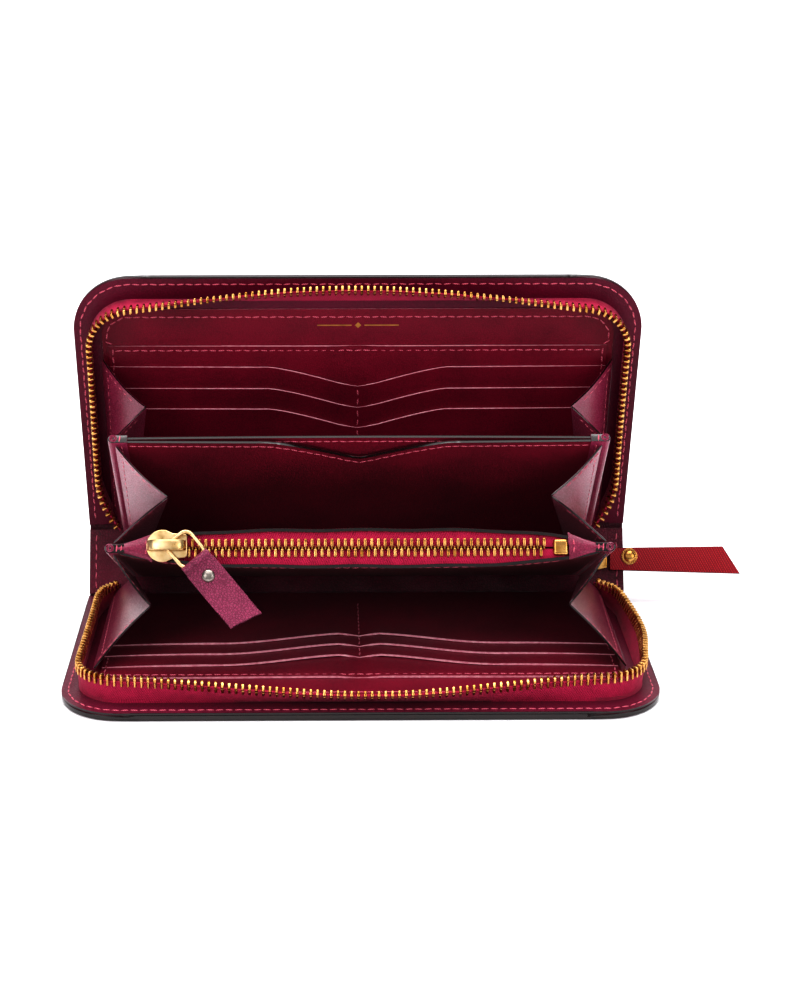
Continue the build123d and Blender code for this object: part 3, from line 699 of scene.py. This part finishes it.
def zip_point(run):
    """Foot of the zip after a run from its right root: x, y and the heading in radians."""
    if run > ZIP_RUN / 2:
        x, y, heading = zip_point(ZIP_RUN - run)
        return -x, y, -heading
    if run <= SIDE_RUN:
        return ZIP_SIDE, -(ZIP_ROOT + run), -pi / 2
    turn = (run - SIDE_RUN) / ZIP_CORNER
    if turn <= pi / 2:
        x = ZIP_SIDE - ZIP_CORNER + ZIP_CORNER * cos(turn)
        y = -(ZIP_FRONT - ZIP_CORNER) - ZIP_CORNER * sin(turn)
        return x, y, -pi / 2 - turn
    return ZIP_SIDE - ZIP_CORNER - (run - SIDE_RUN - CORNER_RUN), -ZIP_FRONT, -pi


def zip_matrix(run, side):
    """Frame on the zip's foot: x along it, y outwards, z up the tape. The tape is loose cloth,
    so its lean wanders: out at the middle of the front, a little at the sides."""
    x, y, heading = zip_point(run)
    lean = 0.0
    if abs(x) < FLARE_HALF:
        lean = radians(FLARE) * (0.5 + 0.5 * cos(pi * x / FLARE_HALF)) ** 0.6
    share = run / ZIP_RUN
    lean += radians(1.5) * sin(share * 19.0 + (0.0 if side == "lower" else 2.0))
    if side == "lower":
        lean += radians(26.0) * exp(-((share - 0.13) / 0.07) ** 2)
    end = min(run, ZIP_RUN - run)
    near_end = max(0.0, 1 - end / TUCK_RUN)
    x -= (1 if x > 0 else -1) * 6.2 * near_end ** 2
    y += TUCK[side] * near_end ** 2
    heading += 0.75 * near_end * (1 if run < ZIP_RUN / 2 else -1)
    along = Vector((cos(heading), sin(heading), 0))
    outward = Vector((-sin(heading), cos(heading), 0))
    rise = Vector((0, 0, cos(lean))) + outward * sin(lean)
    shrink = 1 - 0.22 * max(0.0, 1 - end / 10.0)
    foot = Vector((x, y, HALF_COVER + 0.35 * sin(abs(lean))))
    return axes_matrix(foot, along, rise) @ Matrix.Diagonal((1, 1, shrink, 1))


def zip_tooth():
    """A cast tooth: a head with a dimple on each side, on two legs that grip the tape."""
    bm = bmesh.new()
    block_mesh(bm, (-0.5, -1.05, 7.6), (0.5, 1.05, 9.7), 0.4, 2)
    block_mesh(bm, (-0.4, -1.15, 6.1), (0.4, -0.33, 8.3), 0.2, 1)
    block_mesh(bm, (-0.4, 0.33, 6.1), (0.4, 1.15, 8.3), 0.2, 1)
    return bm


def zip_run(side, cover):
    """Tape and teeth of one cover's half of the zip."""
    steps = 200
    frames = [zip_matrix(ZIP_RUN * k / steps, side) for k in range(steps + 1)]

    def place(offset):
        def point(u, v):
            matrix = frames[round((u + 1) / 2 * steps)]
            ripple = 0.12 * sin(u * 60.0) * v
            return matrix @ Vector((0, offset + ripple, TAPE_HEIGHT * v))
        return point

    bm = bmesh.new()
    sheet_mesh(bm, steps, 6, place(0.3), place(-0.3), 0.1, (ZIP_RUN / 2, TAPE_HEIGHT), edge_slot=0)
    finish_piece(f"{side}_zip_cloth", bm, [TAPE_CLOTH], cover, cover.body, [f"{side}_zip_tape"],
                 smooth=60)
    bm = bmesh.new()
    count = int(ZIP_RUN / TOOTH_PITCH)
    start = (ZIP_RUN - (count - 1) * TOOTH_PITCH) / 2
    repeat(bm, zip_tooth(), [zip_matrix(start + k * TOOTH_PITCH, side) for k in range(count)])
    finish_piece(f"{side}_zip_metal_teeth", bm, [GOLD], cover, cover.body, [f"{side}_zip_teeth"],
                 smooth=35)


def plate(bm, outline, low, high, bevel, segments):
    """A plate with a flat outline of (x, y) points, from z = low to z = high, rounded."""
    old_faces = set(bm.faces)
    face = bm.faces.new([bm.verts.new((x, y, low)) for x, y in outline])
    made = bmesh.ops.extrude_face_region(bm, geom=[face], use_keep_orig=True)["geom"]
    bmesh.ops.translate(bm, vec=(0, 0, high - low), verts=verts_of(made))
    uv_layer = bm.loops.layers.uv.verify()
    for f in bm.faces:
        if f not in old_faces:
            for loop in f.loops:
                loop[uv_layer].uv = loop.vert.co.xy
    flat = {face} | faces_of(made)
    soften(bm, [e for e in bm.edges if sum(f in flat for f in e.link_faces) == 1], bevel, segments)


def arc(centre, radius, first, last, steps):
    """Points of a flat arc, angles in degrees."""
    return [(centre[0] + radius * cos(radians(first + (last - first) * k / steps)),
             centre[1] + radius * sin(radians(first + (last - first) * k / steps))) for k in range(steps + 1)]


def tube(bm, points, radius, sides=10, closed=False):
    """A round wire along a run of points."""
    count = len(points)
    rings = []
    for k, point in enumerate(points):
        ahead = points[(k + 1) % count] if closed or k < count - 1 else point
        behind = points[k - 1] if closed or k > 0 else point
        frame_here = axes_matrix(point, ahead - behind, Vector((0, 0.05, 1)))
        ring = bmesh.ops.create_circle(bm, cap_ends=False, segments=sides, radius=radius,
                                       matrix=frame_here @ Matrix.Rotation(pi / 2, 4, "Y"))["verts"]
        rings.append(list({e: None for vert in ring for e in vert.link_edges}))
    pairs = zip(rings, rings[1:] + rings[:1]) if closed else zip(rings, rings[1:])
    for first, second in pairs:
        bmesh.ops.bridge_loops(bm, edges=first + second)
    if not closed:
        bmesh.ops.holes_fill(bm, edges=rings[0] + rings[-1])


def dome(bm, centre, radius, height, turn=Matrix.Identity(4)):
    """A shallow domed head, flat underneath."""
    verts = bmesh.ops.create_uvsphere(bm, u_segments=28, v_segments=16, radius=1.0)["verts"]
    for vert in verts:
        if vert.co.z < 0:
            vert.co.z *= 0.25
    bmesh.ops.scale(bm, vec=(radius, radius, height), verts=verts)
    bmesh.ops.translate(bm, vec=centre, verts=verts)
    bmesh.ops.transform(bm, matrix=turn, verts=verts)


def zip_slider_piece():
    """Gold slider of the zip round the wallet, between the ends of the two tapes."""
    bm = bmesh.new()
    middle = SPINE_HEIGHT / 2
    outline = arc((87.4, -middle), 4.1, 90, 270, 16) + [(91.0, -middle - 3.2), (91.0, -middle + 3.2)]
    for low, high in ((-1.9, -0.7), (0.7, 1.9)):
        plate(bm, outline, SLIDER_LEVEL + low, SLIDER_LEVEL + high, 0.35, 3)
    block_mesh(bm, (84.6, -middle - 1.4, SLIDER_LEVEL - 1.0), (86.6, -middle + 1.4, SLIDER_LEVEL + 1.0), 0.3)
    finish_piece("zip_slider_metal", bm, [GOLD], SPINE, "spine", ["zip_slider"])


def zip_pull_pieces():
    """Red leather pull: two layers, dark painted edges, and a domed rivet with a beaded rim."""
    middle = SPINE_HEIGHT / 2
    start, end, half, thick = 92.0, 139.6, 4.5, 2.2
    top = SLIDER_LEVEL + thick / 2
    outline = [(start, -middle - half + 0.4), (end - 6.2, -middle - half), (end, -middle + half + 1.1),
               (start, -middle + half - 0.4)]
    bm = bmesh.new()
    plate(bm, outline, SLIDER_LEVEL - thick / 2, top, 0.35, 3)
    for f in bm.faces:
        if abs(f.normal.z) < 0.9:
            f.material_index = 1
    edges = [e for e in bm.edges if e.calc_length() > 20 and all(abs(f.normal.z) > 0.9 for f in e.link_faces)]
    bmesh.ops.subdivide_edges(bm, edges=edges, cuts=6)
    finish_piece("zip_pull_saffiano", bm, [SAFFIANO, DARK_EDGE], SPINE, "zip_pull",
                 ["zip_pull_leather"])
    bm = bmesh.new()
    x, y = start + 7.2, -middle - 0.9
    segments, bead_count, bead_ring = 40, 22, 2.6
    bmesh.ops.create_cone(bm, cap_ends=True, segments=segments, radius1=3.0, radius2=3.0, depth=0.5)
    soften(bm, [e for e in bm.edges if e.calc_length() < 0.49], 0.12)
    bmesh.ops.translate(bm, vec=(x, y, top + 0.25), verts=bm.verts)
    dome(bm, (x, y, top + 0.45), 2.1, 0.8)
    bead = bmesh.new()
    bmesh.ops.create_uvsphere(bead, u_segments=8, v_segments=6, radius=0.34)
    turns = [2 * pi * k / bead_count for k in range(bead_count)]
    repeat(bm, bead, [Matrix.Translation((x + bead_ring * cos(turn), y + bead_ring * sin(turn), top + 0.5))
                      for turn in turns])
    finish_piece("zip_pull_rivet_metal", bm, [GOLD], SPINE, "zip_pull", ["zip_pull_rivet"])


# ---- Divider and coin pocket ---------------------------------------------------------
WRAP_INNER = 77.4            # a wrapped end, from here ...
WRAP_FOLD = 82.3             # ... to the middle of its round fold
WRAP_HALF = 1.5
WRAP_MOUTH = 72.8
LEAF_START = 2.0
PANEL = 1.08


def wrapped_edge(name, leaf, side, node):
    """Leather folded round a leaf's end: flat flanges on both faces and a full round fold, its
    two cut ends painted at the mouth."""
    bm = bmesh.new()
    flange = [(x, WRAP_HALF + 0.02 * (x - WRAP_INNER)) for x in (WRAP_INNER, 79.0, 80.6, WRAP_FOLD)]
    outer = flange + arc((WRAP_FOLD, 0), 1.6, 80, -80, 12) + [(x, -h) for x, h in reversed(flange)]
    face = bm.faces.new([bm.verts.new((side * x, -3.0, h)) for x, h in outer])
    made = bmesh.ops.extrude_face_region(bm, geom=[face], use_keep_orig=True)["geom"]
    bmesh.ops.translate(bm, vec=(0, 3.0 - WRAP_MOUTH, 0), verts=verts_of(made))
    ends = {face} | faces_of(made)
    for f in ends:
        f.material_index = 1
    soften(bm, [e for e in bm.edges if sum(f in ends for f in e.link_faces) == 1], 0.22)
    coil = []
    for k in range(40):
        angle = 2 * pi * k / 18 + 0.6
        reach = 1.42 - 1.1 * k / 39
        coil.append(Vector((side * (WRAP_FOLD - 0.1 + reach * cos(angle)), -WRAP_MOUTH, reach * sin(angle))))
    tube(bm, coil, 0.24, 6)
    finish_piece(name + "_leather", bm, [GUSSET_LEATHER, DARK_EDGE], leaf, leaf.body, [node],
                 smooth=35)
    lines = []
    for facing in (1, -1):
        h = facing * WRAP_HALF
        lines.append((straight((side * 79.3, -5.0, h), (side * 79.3, -71.0, h), 10), (0, 0, facing)))
    x, y = side * 79.9, -WRAP_MOUTH - 0.05
    lines.append((straight((x, y, -WRAP_HALF), (x, y, WRAP_HALF), 2), (0, -1, 0)))
    stitching(name + "_stitching", lines, leaf, pitch=2.7)


def divider_pieces():
    """Two panels with an open top between the gussets; the front one has a wide notch."""
    def front_top(x):
        return LEAF_DEPTH - 9.5 * notch_share(x, NOTCH_HALF)

    for name, low, top in (("rear", 0.08, lambda x: LEAF_DEPTH), ("front", -1.16, front_top)):
        def place(h, curl, top=top):
            def point(u, v):
                x = u * LEAF_HALF_WIDTH
                gap = curl * (1 - (x / LEAF_HALF_WIDTH) ** 2) * v ** 5
                return Vector((x, -(LEAF_START + (top(x) - LEAF_START) * v), h + gap))
            return point

        curl = 0.5 if name == "rear" else -0.5
        bm = bmesh.new()
        sheet_mesh(bm, 80, 20, place(low + PANEL, curl), place(low, curl), 0.22, (LEAF_HALF_WIDTH, LEAF_DEPTH))
        finish_piece(f"divider_{name}_leather", bm, [PANEL_LEATHER, DARK_EDGE], DIVIDER, "divider",
                     [f"divider_{name}_panel"])
        xs = [77.0 * k / 60 for k in range(-60, 61)]
        lines = []
        for h, facing in ((low - 0.02, -1), (low + PANEL + 0.02, 1)):
            bulge = [0.86 * curl * (1 - (x / LEAF_HALF_WIDTH) ** 2) for x in xs]
            run = [Vector((x, -(top(x) - 1.9), h + lift)) for x, lift in zip(xs, bulge)]
            lines.append((run, (0, 0, facing)))
        stitching(f"divider_{name}_stitching", lines, DIVIDER, pitch=2.7)
    for side, word in SIDES:
        wrapped_edge(f"divider_{word}_wrap", DIVIDER, side, f"divider_edge_{word}")


COIN_WALLS = (("front", 6.6, -1), ("rear", 6.5, 1))   # name, bow at the mouth, side
COIN_END_HALF = 1.5          # half the pocket's thickness at its ends
COIN_MOUTH = 71.9
CHAIN_LEVEL = 70.9           # foot of the chain's teeth
TAB_TOP = 72.9


def coin_half(x, full):
    """Distance of a wall's outer face from the pocket's middle at the mouth."""
    return COIN_END_HALF + (full - COIN_END_HALF) * (1 - min(1.0, abs(x) / LEAF_HALF_WIDTH) ** 4)


def flatten_shut(piece):
    """Gives the piece a mesh of its own."""
    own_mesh(piece)


def coin_wall_piece(name, full, side):
    """Soft wall of the coin pocket, bowed out at its mouth, with its painted edge."""
    def place(inset):
        def point(u, v):
            x = u * LEAF_HALF_WIDTH
            share = 0.25 * v + 0.75 * v ** 2.2
            half = COIN_END_HALF + share * (coin_half(x, full) - COIN_END_HALF) - inset
            wave = 0.18 * sin(x * 0.21 + 1.3 * side) * v ** 3
            return Vector((x, -(2.5 + (COIN_MOUTH - 2.5) * v), side * (half + wave)))
        return point

    bm = bmesh.new()
    sheet_mesh(bm, 90, 24, place(0.0), place(1.05), 0.25, (LEAF_HALF_WIDTH, LEAF_DEPTH))
    flatten_shut(finish_piece(f"coin_{name}_wall_leather", bm, [PANEL_LEATHER, DARK_EDGE], COIN, "coin_pocket",
                              [f"coin_wall_{name}"]))
    bm = bmesh.new()
    xs = [COIN_ZIP_END * k / 40 for k in range(-40, 41)]
    run = [Vector((x, -68.6, side * (1.56 + 0.905 * (coin_half(x, full) - COIN_END_HALF)))) for x in xs]
    repeat(bm, stitch_template(), stitch_line(run, [Vector((0, 0, side))] * len(run)))
    flatten_shut(finish_piece(f"coin_{name}_wall_stitching", bm, [THREAD], COIN, "coin_pocket"))


def coin_tape_piece(name, full, side):
    """Twill tape between the chain and a wall, a little sunk towards the chain."""
    def place(drop):
        def point(u, v):
            x = u * (COIN_ZIP_END + 3.0)
            outer = coin_half(x, full) - 0.9
            h = 0.25 + (outer - 0.25) * v
            r = CHAIN_LEVEL - drop + 0.35 * sin(pi * v) + 0.1 * sin(x * 0.6) * v
            return Vector((x, -r, side * h))
        return point

    bm = bmesh.new()
    sheet_mesh(bm, 120, 6, place(0.0), place(0.5), 0.1, (COIN_ZIP_END, 4.0), edge_slot=0)
    flatten_shut(finish_piece(f"coin_{name}_tape_cloth", bm, [TAPE_CLOTH], COIN, "coin_pocket",
                              [f"coin_tape_{name}"]))


def coin_teeth_piece(name, side):
    """Every second tooth of the closed chain: a rounded bar and the head that grips the next."""
    tooth = bmesh.new()
    low, high = sorted((side * 0.3, side * 3.05))
    block_mesh(tooth, (-0.48, -CHAIN_LEVEL - 2.0, low), (0.48, -CHAIN_LEVEL, high), 0.24, 2)
    low, high = sorted((-side * 0.62, side * 0.5))
    block_mesh(tooth, (-0.3, -72.5, low), (0.3, -71.1, high), 0.2, 1)
    count = int((2 * COIN_ZIP_END - 8) / COIN_PITCH)
    start = -(count - 1) * COIN_PITCH / 2 + side * COIN_PITCH / 4
    bm = bmesh.new()
    repeat(bm, tooth, [Matrix.Translation((start + k * COIN_PITCH, 0, 0)) for k in range(count)])
    finish_piece(f"coin_{name}_metal_teeth", bm, [GOLD], COIN, "coin_pocket", [f"coin_teeth_{name}"],
                 smooth=35)


def coin_stop_piece():
    """Metal box at the closed end of the coin zip."""
    bm = bmesh.new()
    block_mesh(bm, (63.4, -73.2, -2.7), (68.4, -CHAIN_LEVEL, 2.7), 0.95, 4)
    finish_piece("coin_bottom_stop_metal", bm, [GOLD], COIN, "coin_pocket", ["coin_bottom_stop"])


def coin_tab_piece(side, word):
    """Folded leather tab that closes the mouth beyond the zip, with its crossed stitches."""
    def place(drop):
        def point(u, v):
            x = 68.6 + 12.0 * v
            half = 3.6 * (1 - v) ** 1.2 + 0.9
            return Vector((side * x, -(TAB_TOP - drop - 0.9 * u * u), 0.3 * (1 - v) + u * half))
        return point

    bm = bmesh.new()
    sheet_mesh(bm, 12, 12, place(0.0), place(0.9), 0.2, (4.0, 12.0))
    finish_piece(f"coin_tab_{word}_leather", bm, [GUSSET_LEATHER, DARK_EDGE], COIN, "coin_pocket",
                 [f"coin_end_tab_{word}"])
    bm = bmesh.new()
    runs = []
    for x, low, high, pitch in ((70.2, -2.2, 2.8, 2.4), (78.4, -0.9, 1.1, 2.0)):
        row = straight((side * x, -TAB_TOP, low), (side * x, -TAB_TOP, high), 2)
        runs += stitch_line(row, [Vector((0, -1, 0))] * 3, pitch)
    repeat(bm, stitch_template(2.0, 0.5, 0.4), runs)
    finish_piece(f"coin_tab_{word}_stitching", bm, [THREAD], COIN, "coin_pocket")


SLIDER_X = -63.3
SLIDER_MID = 0.6
MOUTH = COIN.matrix @ Matrix(((1, 0, 0, 0), (0, 0, -1, 0), (0, 1, 0, 0), (0, 0, 0, 1)))


def coin_slider_piece():
    """Slider with a round head, a square tail and an arched bridge for the pull.
    Drawn looking into the mouth: x along the zip, y across it, z out of the pocket."""
    bm = bmesh.new()
    x, mid = SLIDER_X, SLIDER_MID
    outline = arc((x - 1.4, mid), 5.4, 78, 282, 28)
    outline += [(x + 2.0, mid - 4.2), (x + 6.0, mid - 4.0), (x + 6.7, mid - 3.3), (x + 6.7, mid + 3.3),
                (x + 6.0, mid + 4.0), (x + 2.0, mid + 4.2)]
    plate(bm, outline, 73.4, 74.6, 0.35, 3)
    plate(bm, [(x + 0.92 * (a - x), mid + 0.5 * (b - mid)) for a, b in outline], 69.0, 70.0, 0.2, 1)
    over = [(1.5, 78.3), (4.0, 77.9), (5.6, 77.0), (6.3, 75.6), (6.2, 74.3)]
    under = [(4.5, 74.3), (4.6, 75.3), (4.1, 76.2), (2.8, 76.9), (1.0, 77.15)]
    bridge = [(-a, b) for a, b in reversed(over)] + over + under + [(-a, b) for a, b in reversed(under)]
    before = set(bm.verts)
    plate(bm, [(x + a, b) for a, b in bridge], -1.7, 1.7, 0.3, 2)
    arch = [vert for vert in bm.verts if vert not in before]
    upright = Matrix.Translation((0, mid, 0)) @ Matrix.Rotation(pi / 2, 4, "X")
    bmesh.ops.transform(bm, matrix=upright, verts=arch)
    finish_piece("coin_slider_metal", bm, [SATIN_GOLD], MOUTH, "coin_slider", ["coin_slider"])


def coin_pull_pieces():
    """Wire ring, folded leather tab with a slanted end, and its domed rivet."""
    swing = Matrix.Rotation(radians(-50.0), 4, "Z")
    place = MOUTH @ Matrix.Translation((SLIDER_X + 5.2, SLIDER_MID, 76.1)) @ swing
    near, far, half, corner = -3.4, 7.0, 4.6, 2.6
    run = []
    for cx, cy, first in ((far - corner, half - corner, 90), (far - corner, -half + corner, 0),
                          (near + corner, -half + corner, -90), (near + corner, half - corner, 180)):
        run += arc((cx, cy), corner, first, first - 90, 8)
    bm = bmesh.new()
    tube(bm, [Vector((x, y, 0)) for x, y in run], 0.66, 12, closed=True)
    finish_piece("coin_pull_ring_metal", bm, [SATIN_GOLD], place, "coin_pull",
                 ["coin_pull_ring"], smooth=60)
    bm = bmesh.new()
    width, start = 5.3, 9.2

    def layer(offset, puff):
        def point(u, v):
            x = start + (32.3 + 1.3 * u - start) * v
            return Vector((x, u * width, offset + puff * sin(pi * min(1.0, v * 1.4)) * (1 - u * u)))
        return point

    sheet_mesh(bm, 14, 26, layer(1.3, 0.25), layer(0.03, 0.0), 0.2, (width, 24.0))
    sheet_mesh(bm, 14, 26, layer(-0.03, 0.0), layer(-1.3, -0.25), 0.2, (width, 24.0))
    before = set(bm.verts)
    loop = arc((far + 0.6, 0), 1.95, 48, 312, 14)
    inner = arc((far + 0.6, 0), 0.85, 312, 48, 14)
    plate(bm, [(9.6, 1.3)] + loop + [(9.6, -1.3), (9.6, -0.3)] + inner + [(9.6, 0.3)], -width, width, 0.2, 2)
    bend = [vert for vert in bm.verts if vert not in before]
    bmesh.ops.transform(bm, matrix=Matrix.Rotation(pi / 2, 4, "X"), verts=bend)
    finish_piece("coin_pull_tab_leather", bm, [PULL_LEATHER, DARK_EDGE], place, "coin_pull",
                 ["coin_pull_leather"])
    bm = bmesh.new()
    rivet_x = 13.4
    dome(bm, (rivet_x, 0, 1.5), 2.15, 1.1)
    dome(bm, (rivet_x, 0, 1.4), 2.0, 0.6, Matrix.Rotation(pi, 4, "X"))
    bmesh.ops.create_cone(bm, cap_ends=True, segments=16, radius1=0.8, radius2=0.8, depth=3.0,
                          matrix=Matrix.Translation((rivet_x, 0, 0)))
    finish_piece("coin_pull_rivet_metal", bm, [NICKEL], place, "coin_pull", ["coin_pull_rivet"])


def coin_pieces():
    """Every piece of the coin pocket, its slider and its pull."""
    for name, full, side in COIN_WALLS:
        coin_wall_piece(name, full, side)
        coin_tape_piece(name, full, side)
        coin_teeth_piece(name, side)
    coin_stop_piece()
    for side, word in SIDES:
        coin_tab_piece(side, word)
        wrapped_edge(f"coin_{word}_wrap", COIN, side, f"coin_edge_{word}")
    coin_slider_piece()
    coin_pull_pieces()


# ---- Gussets -------------------------------------------------------------------------
FOLD_GAP = 2.8               # from a panel's far edge in the frame to the shared fold
NEAR_FOLD = 0.6              # a panel's outermost points are within this of its reach
GUSSET_HALF = 0.29           # half a gusset's thickness


def half_lines(node, joint):
    """Hinge and fold lines of a gusset half: points at the root and the mouth, in millimetres."""
    hinge = Vector(joint["pos_m"]) / MM
    axis = Vector(joint["axis"]).normalized()
    spots = []
    for vert in frame["nodes"][node].data.vertices:
        away = Vector(vert.co) / MM - hinge
        along = away.dot(axis)
        spots.append((along, away - axis * along))
    if abs(min(s[0] for s in spots)) > abs(max(s[0] for s in spots)):
        axis = -axis
        spots = [(-a, p) for a, p in spots]
    reach = max(p.length for _, p in spots)
    across = sum((p for _, p in spots if p.length > reach - NEAR_FOLD), Vector()).normalized()
    wide = [(a, p.dot(across)) for a, p in spots]
    mouth = [w for w in wide if w[1] > reach - NEAR_FOLD]
    mouth_run = sum(w[0] for w in mouth) / len(mouth)
    ends = [spot[0] for spot in wide]
    return {"hinge": (hinge + axis * min(ends), hinge + axis * max(ends)), "run": axis,
            "mouth": hinge + axis * mouth_run + across * (reach + FOLD_GAP), "normal": axis.cross(across)}


def gusset_pieces(word, name, side):
    """Two half panels that meet in a fold, each a bowed leather sheet with a painted mouth edge
    and a row of stitches along it."""
    halves = {}
    for part in ("bottom", "top"):
        node = f"gusset_{word}_{name}_{part}"
        halves[part] = half_lines(node, JOINTS[node + "_fold"])
    low, high = halves["bottom"], halves["top"]
    mouth = (low["mouth"] + high["mouth"]) / 2
    crease = low["normal"].cross(high["normal"]).normalized()
    if crease.dot(low["run"]) < 0:
        crease = -crease
    depth = (mouth - low["hinge"][0]).dot(low["run"]) / crease.dot(low["run"])
    fold = (mouth - crease * (depth - 3.5), mouth + crease * 1.2)
    for part in ("bottom", "top"):
        node = f"gusset_{word}_{name}_{part}"
        hinge = halves[part]["hinge"]
        run = (hinge[1] - hinge[0]).normalized()
        normal = run.cross(fold[1] - hinge[1]).normalized()
        if normal.x * side < 0:
            normal = -normal
        hinge = (hinge[0], hinge[1] + run * 0.8)

        def surface(w, v, offset, hinge=hinge, normal=normal):
            start = hinge[0].lerp(hinge[1], v)
            end = fold[0].lerp(fold[1], v)
            sag = 0.9 * sin(pi * w) * v
            bow = 0.45 * sin(pi * w) * v - 0.34 * w ** 3
            towards = (hinge[1] - hinge[0]).normalized()
            return start.lerp(end, w) + normal * (bow + offset) - towards * sag

        bm = bmesh.new()
        sheet_mesh(bm, 16, 24, lambda u, v: surface((u + 1) / 2, v, GUSSET_HALF),
                   lambda u, v: surface((u + 1) / 2, v, -GUSSET_HALF), 0.18, (14.0, 66.0))
        finish_piece(node + "_leather", bm, [GUSSET_LEATHER, DARK_EDGE], Matrix.Scale(MM, 4), node,
                     [node])
        bm = bmesh.new()
        for facing in (1, -1):
            offset = facing * (GUSSET_HALF - 0.02)
            normals = [normal * facing] * 13
            mouth_row = [surface(0.05 + 0.7 * k / 12, 0.968, offset) for k in range(13)]
            repeat(bm, stitch_template(2.2, 0.5, 0.38), stitch_line(mouth_row, normals, 2.7))
            side_row = [surface(0.13, 0.08 + 0.86 * k / 12, offset) for k in range(13)]
            repeat(bm, stitch_template(2.0, 0.45, 0.34), stitch_line(side_row, normals, 2.7))
        finish_piece(node + "_stitching", bm, [THREAD], Matrix.Scale(MM, 4), node)


# ---- Everything ----------------------------------------------------------------------
for side_word, cover_leaf in COVERS:
    cover_skin(side_word, cover_leaf)
    cover_pieces(side_word, cover_leaf)
    card_panel(side_word, cover_leaf)
    zip_run(side_word, cover_leaf)
spine_pieces()
foil_mark()
zip_slider_piece()
zip_pull_pieces()
divider_pieces()
coin_pieces()
for sign, side_word in SIDES:
    for gusset in ("lower", "middle", "upper"):
        gusset_pieces(side_word, gusset, sign)


# ---- Floor, light and camera ---------------------------------------------------------
def stage_floor():
    """Pale sweep: a floor that curves up into a wall behind."""
    bm = bmesh.new()
    half, front, back, radius, tall = 4.0, -5.0, 1.5, 0.7, 2.6
    turns = [pi / 2 * k / 16 for k in range(17)]
    curve = [(back - radius + radius * sin(turn), radius - radius * cos(turn)) for turn in turns]
    profile = [(front, 0.0)] + curve + [(back, tall)]
    verts = [bm.verts.new((-half, y, z)) for y, z in profile]
    edges = [bm.edges.new(pair) for pair in zip(verts, verts[1:])]
    made = bmesh.ops.extrude_edge_only(bm, edges=edges)["geom"]
    bmesh.ops.translate(bm, vec=(2 * half, 0, 0), verts=verts_of(made))
    bmesh.ops.translate(bm, vec=(0, 0, -0.0002), verts=bm.verts)
    bmesh.ops.recalc_face_normals(bm, faces=bm.faces)
    mesh = bpy.data.meshes.new("floor")
    bm.to_mesh(mesh)
    bm.free()
    material, tree, principled, place = start_material("matte_white_paper", {
        "Roughness": 0.9, "Specular IOR Level": 0.15})
    colour_by(tree, principled, noise(tree, place, 1000 / 6, 2.0), (0.3, "#f4f3f5"), (0.7, "#fafafb"))
    mesh.materials.append(material)
    for polygon in mesh.polygons:
        polygon.use_smooth = True
    floor = bpy.data.objects.new("floor", mesh)
    bpy.context.scene.collection.objects.link(floor)


def area_light(name, place, target, size, power):
    """A soft rectangular light at a place, aimed at a target."""
    data = bpy.data.lights.new(name, "AREA")
    data.shape = "RECTANGLE"
    data.size, data.size_y = size
    data.energy = power
    light = bpy.data.objects.new(name, data)
    light.location = place
    light.rotation_euler = (Vector(target) - Vector(place)).to_track_quat("-Z", "Y").to_euler()
    bpy.context.scene.collection.objects.link(light)


stage_floor()
area_light("overhead", (0.0, -0.15, 1.25), (0, 0, 0), (1.5, 1.3), 11.0)
area_light("front_left", (-0.95, -1.05, 0.75), (0, 0, 0.03), (0.8, 0.8), 4.6)
area_light("front_right", (1.0, -0.9, 0.6), (0, 0, 0.03), (0.7, 0.7), 3.0)
area_light("front_card", (0.0, -1.05, 0.6), (0, 0, 0.05), (1.1, 0.6), 1.1)
area_light("wall_wash", (0.0, 0.5, 1.9), (0, 1.5, 0.6), (2.5, 0.8), 22.0)

world = bpy.data.worlds.new("studio")
world.use_nodes = True
world.node_tree.nodes["Background"].inputs["Color"].default_value = linear("#f6f5f8")
world.node_tree.nodes["Background"].inputs["Strength"].default_value = 0.2
bpy.context.scene.world = world

camera_data = bpy.data.cameras.new("camera")
camera_data.sensor_width = 36.0
camera_data.sensor_fit = "VERTICAL"
camera_data.sensor_height = 36.0
camera_data.lens = 70.96
camera_data.shift_x = 0.055
camera_data.shift_y = 0.024
camera = bpy.data.objects.new("camera", camera_data)
camera.location = (-0.0110, -0.6181, 0.2720)
camera.rotation_euler = (radians(90 - 19.92), 0, radians(-0.567))
bpy.context.scene.collection.objects.link(camera)
bpy.context.scene.camera = camera
bpy.context.scene.view_settings.view_transform = "Standard"
bpy.context.scene.view_settings.gamma = 0.7
bpy.context.scene.view_settings.exposure = 0.72
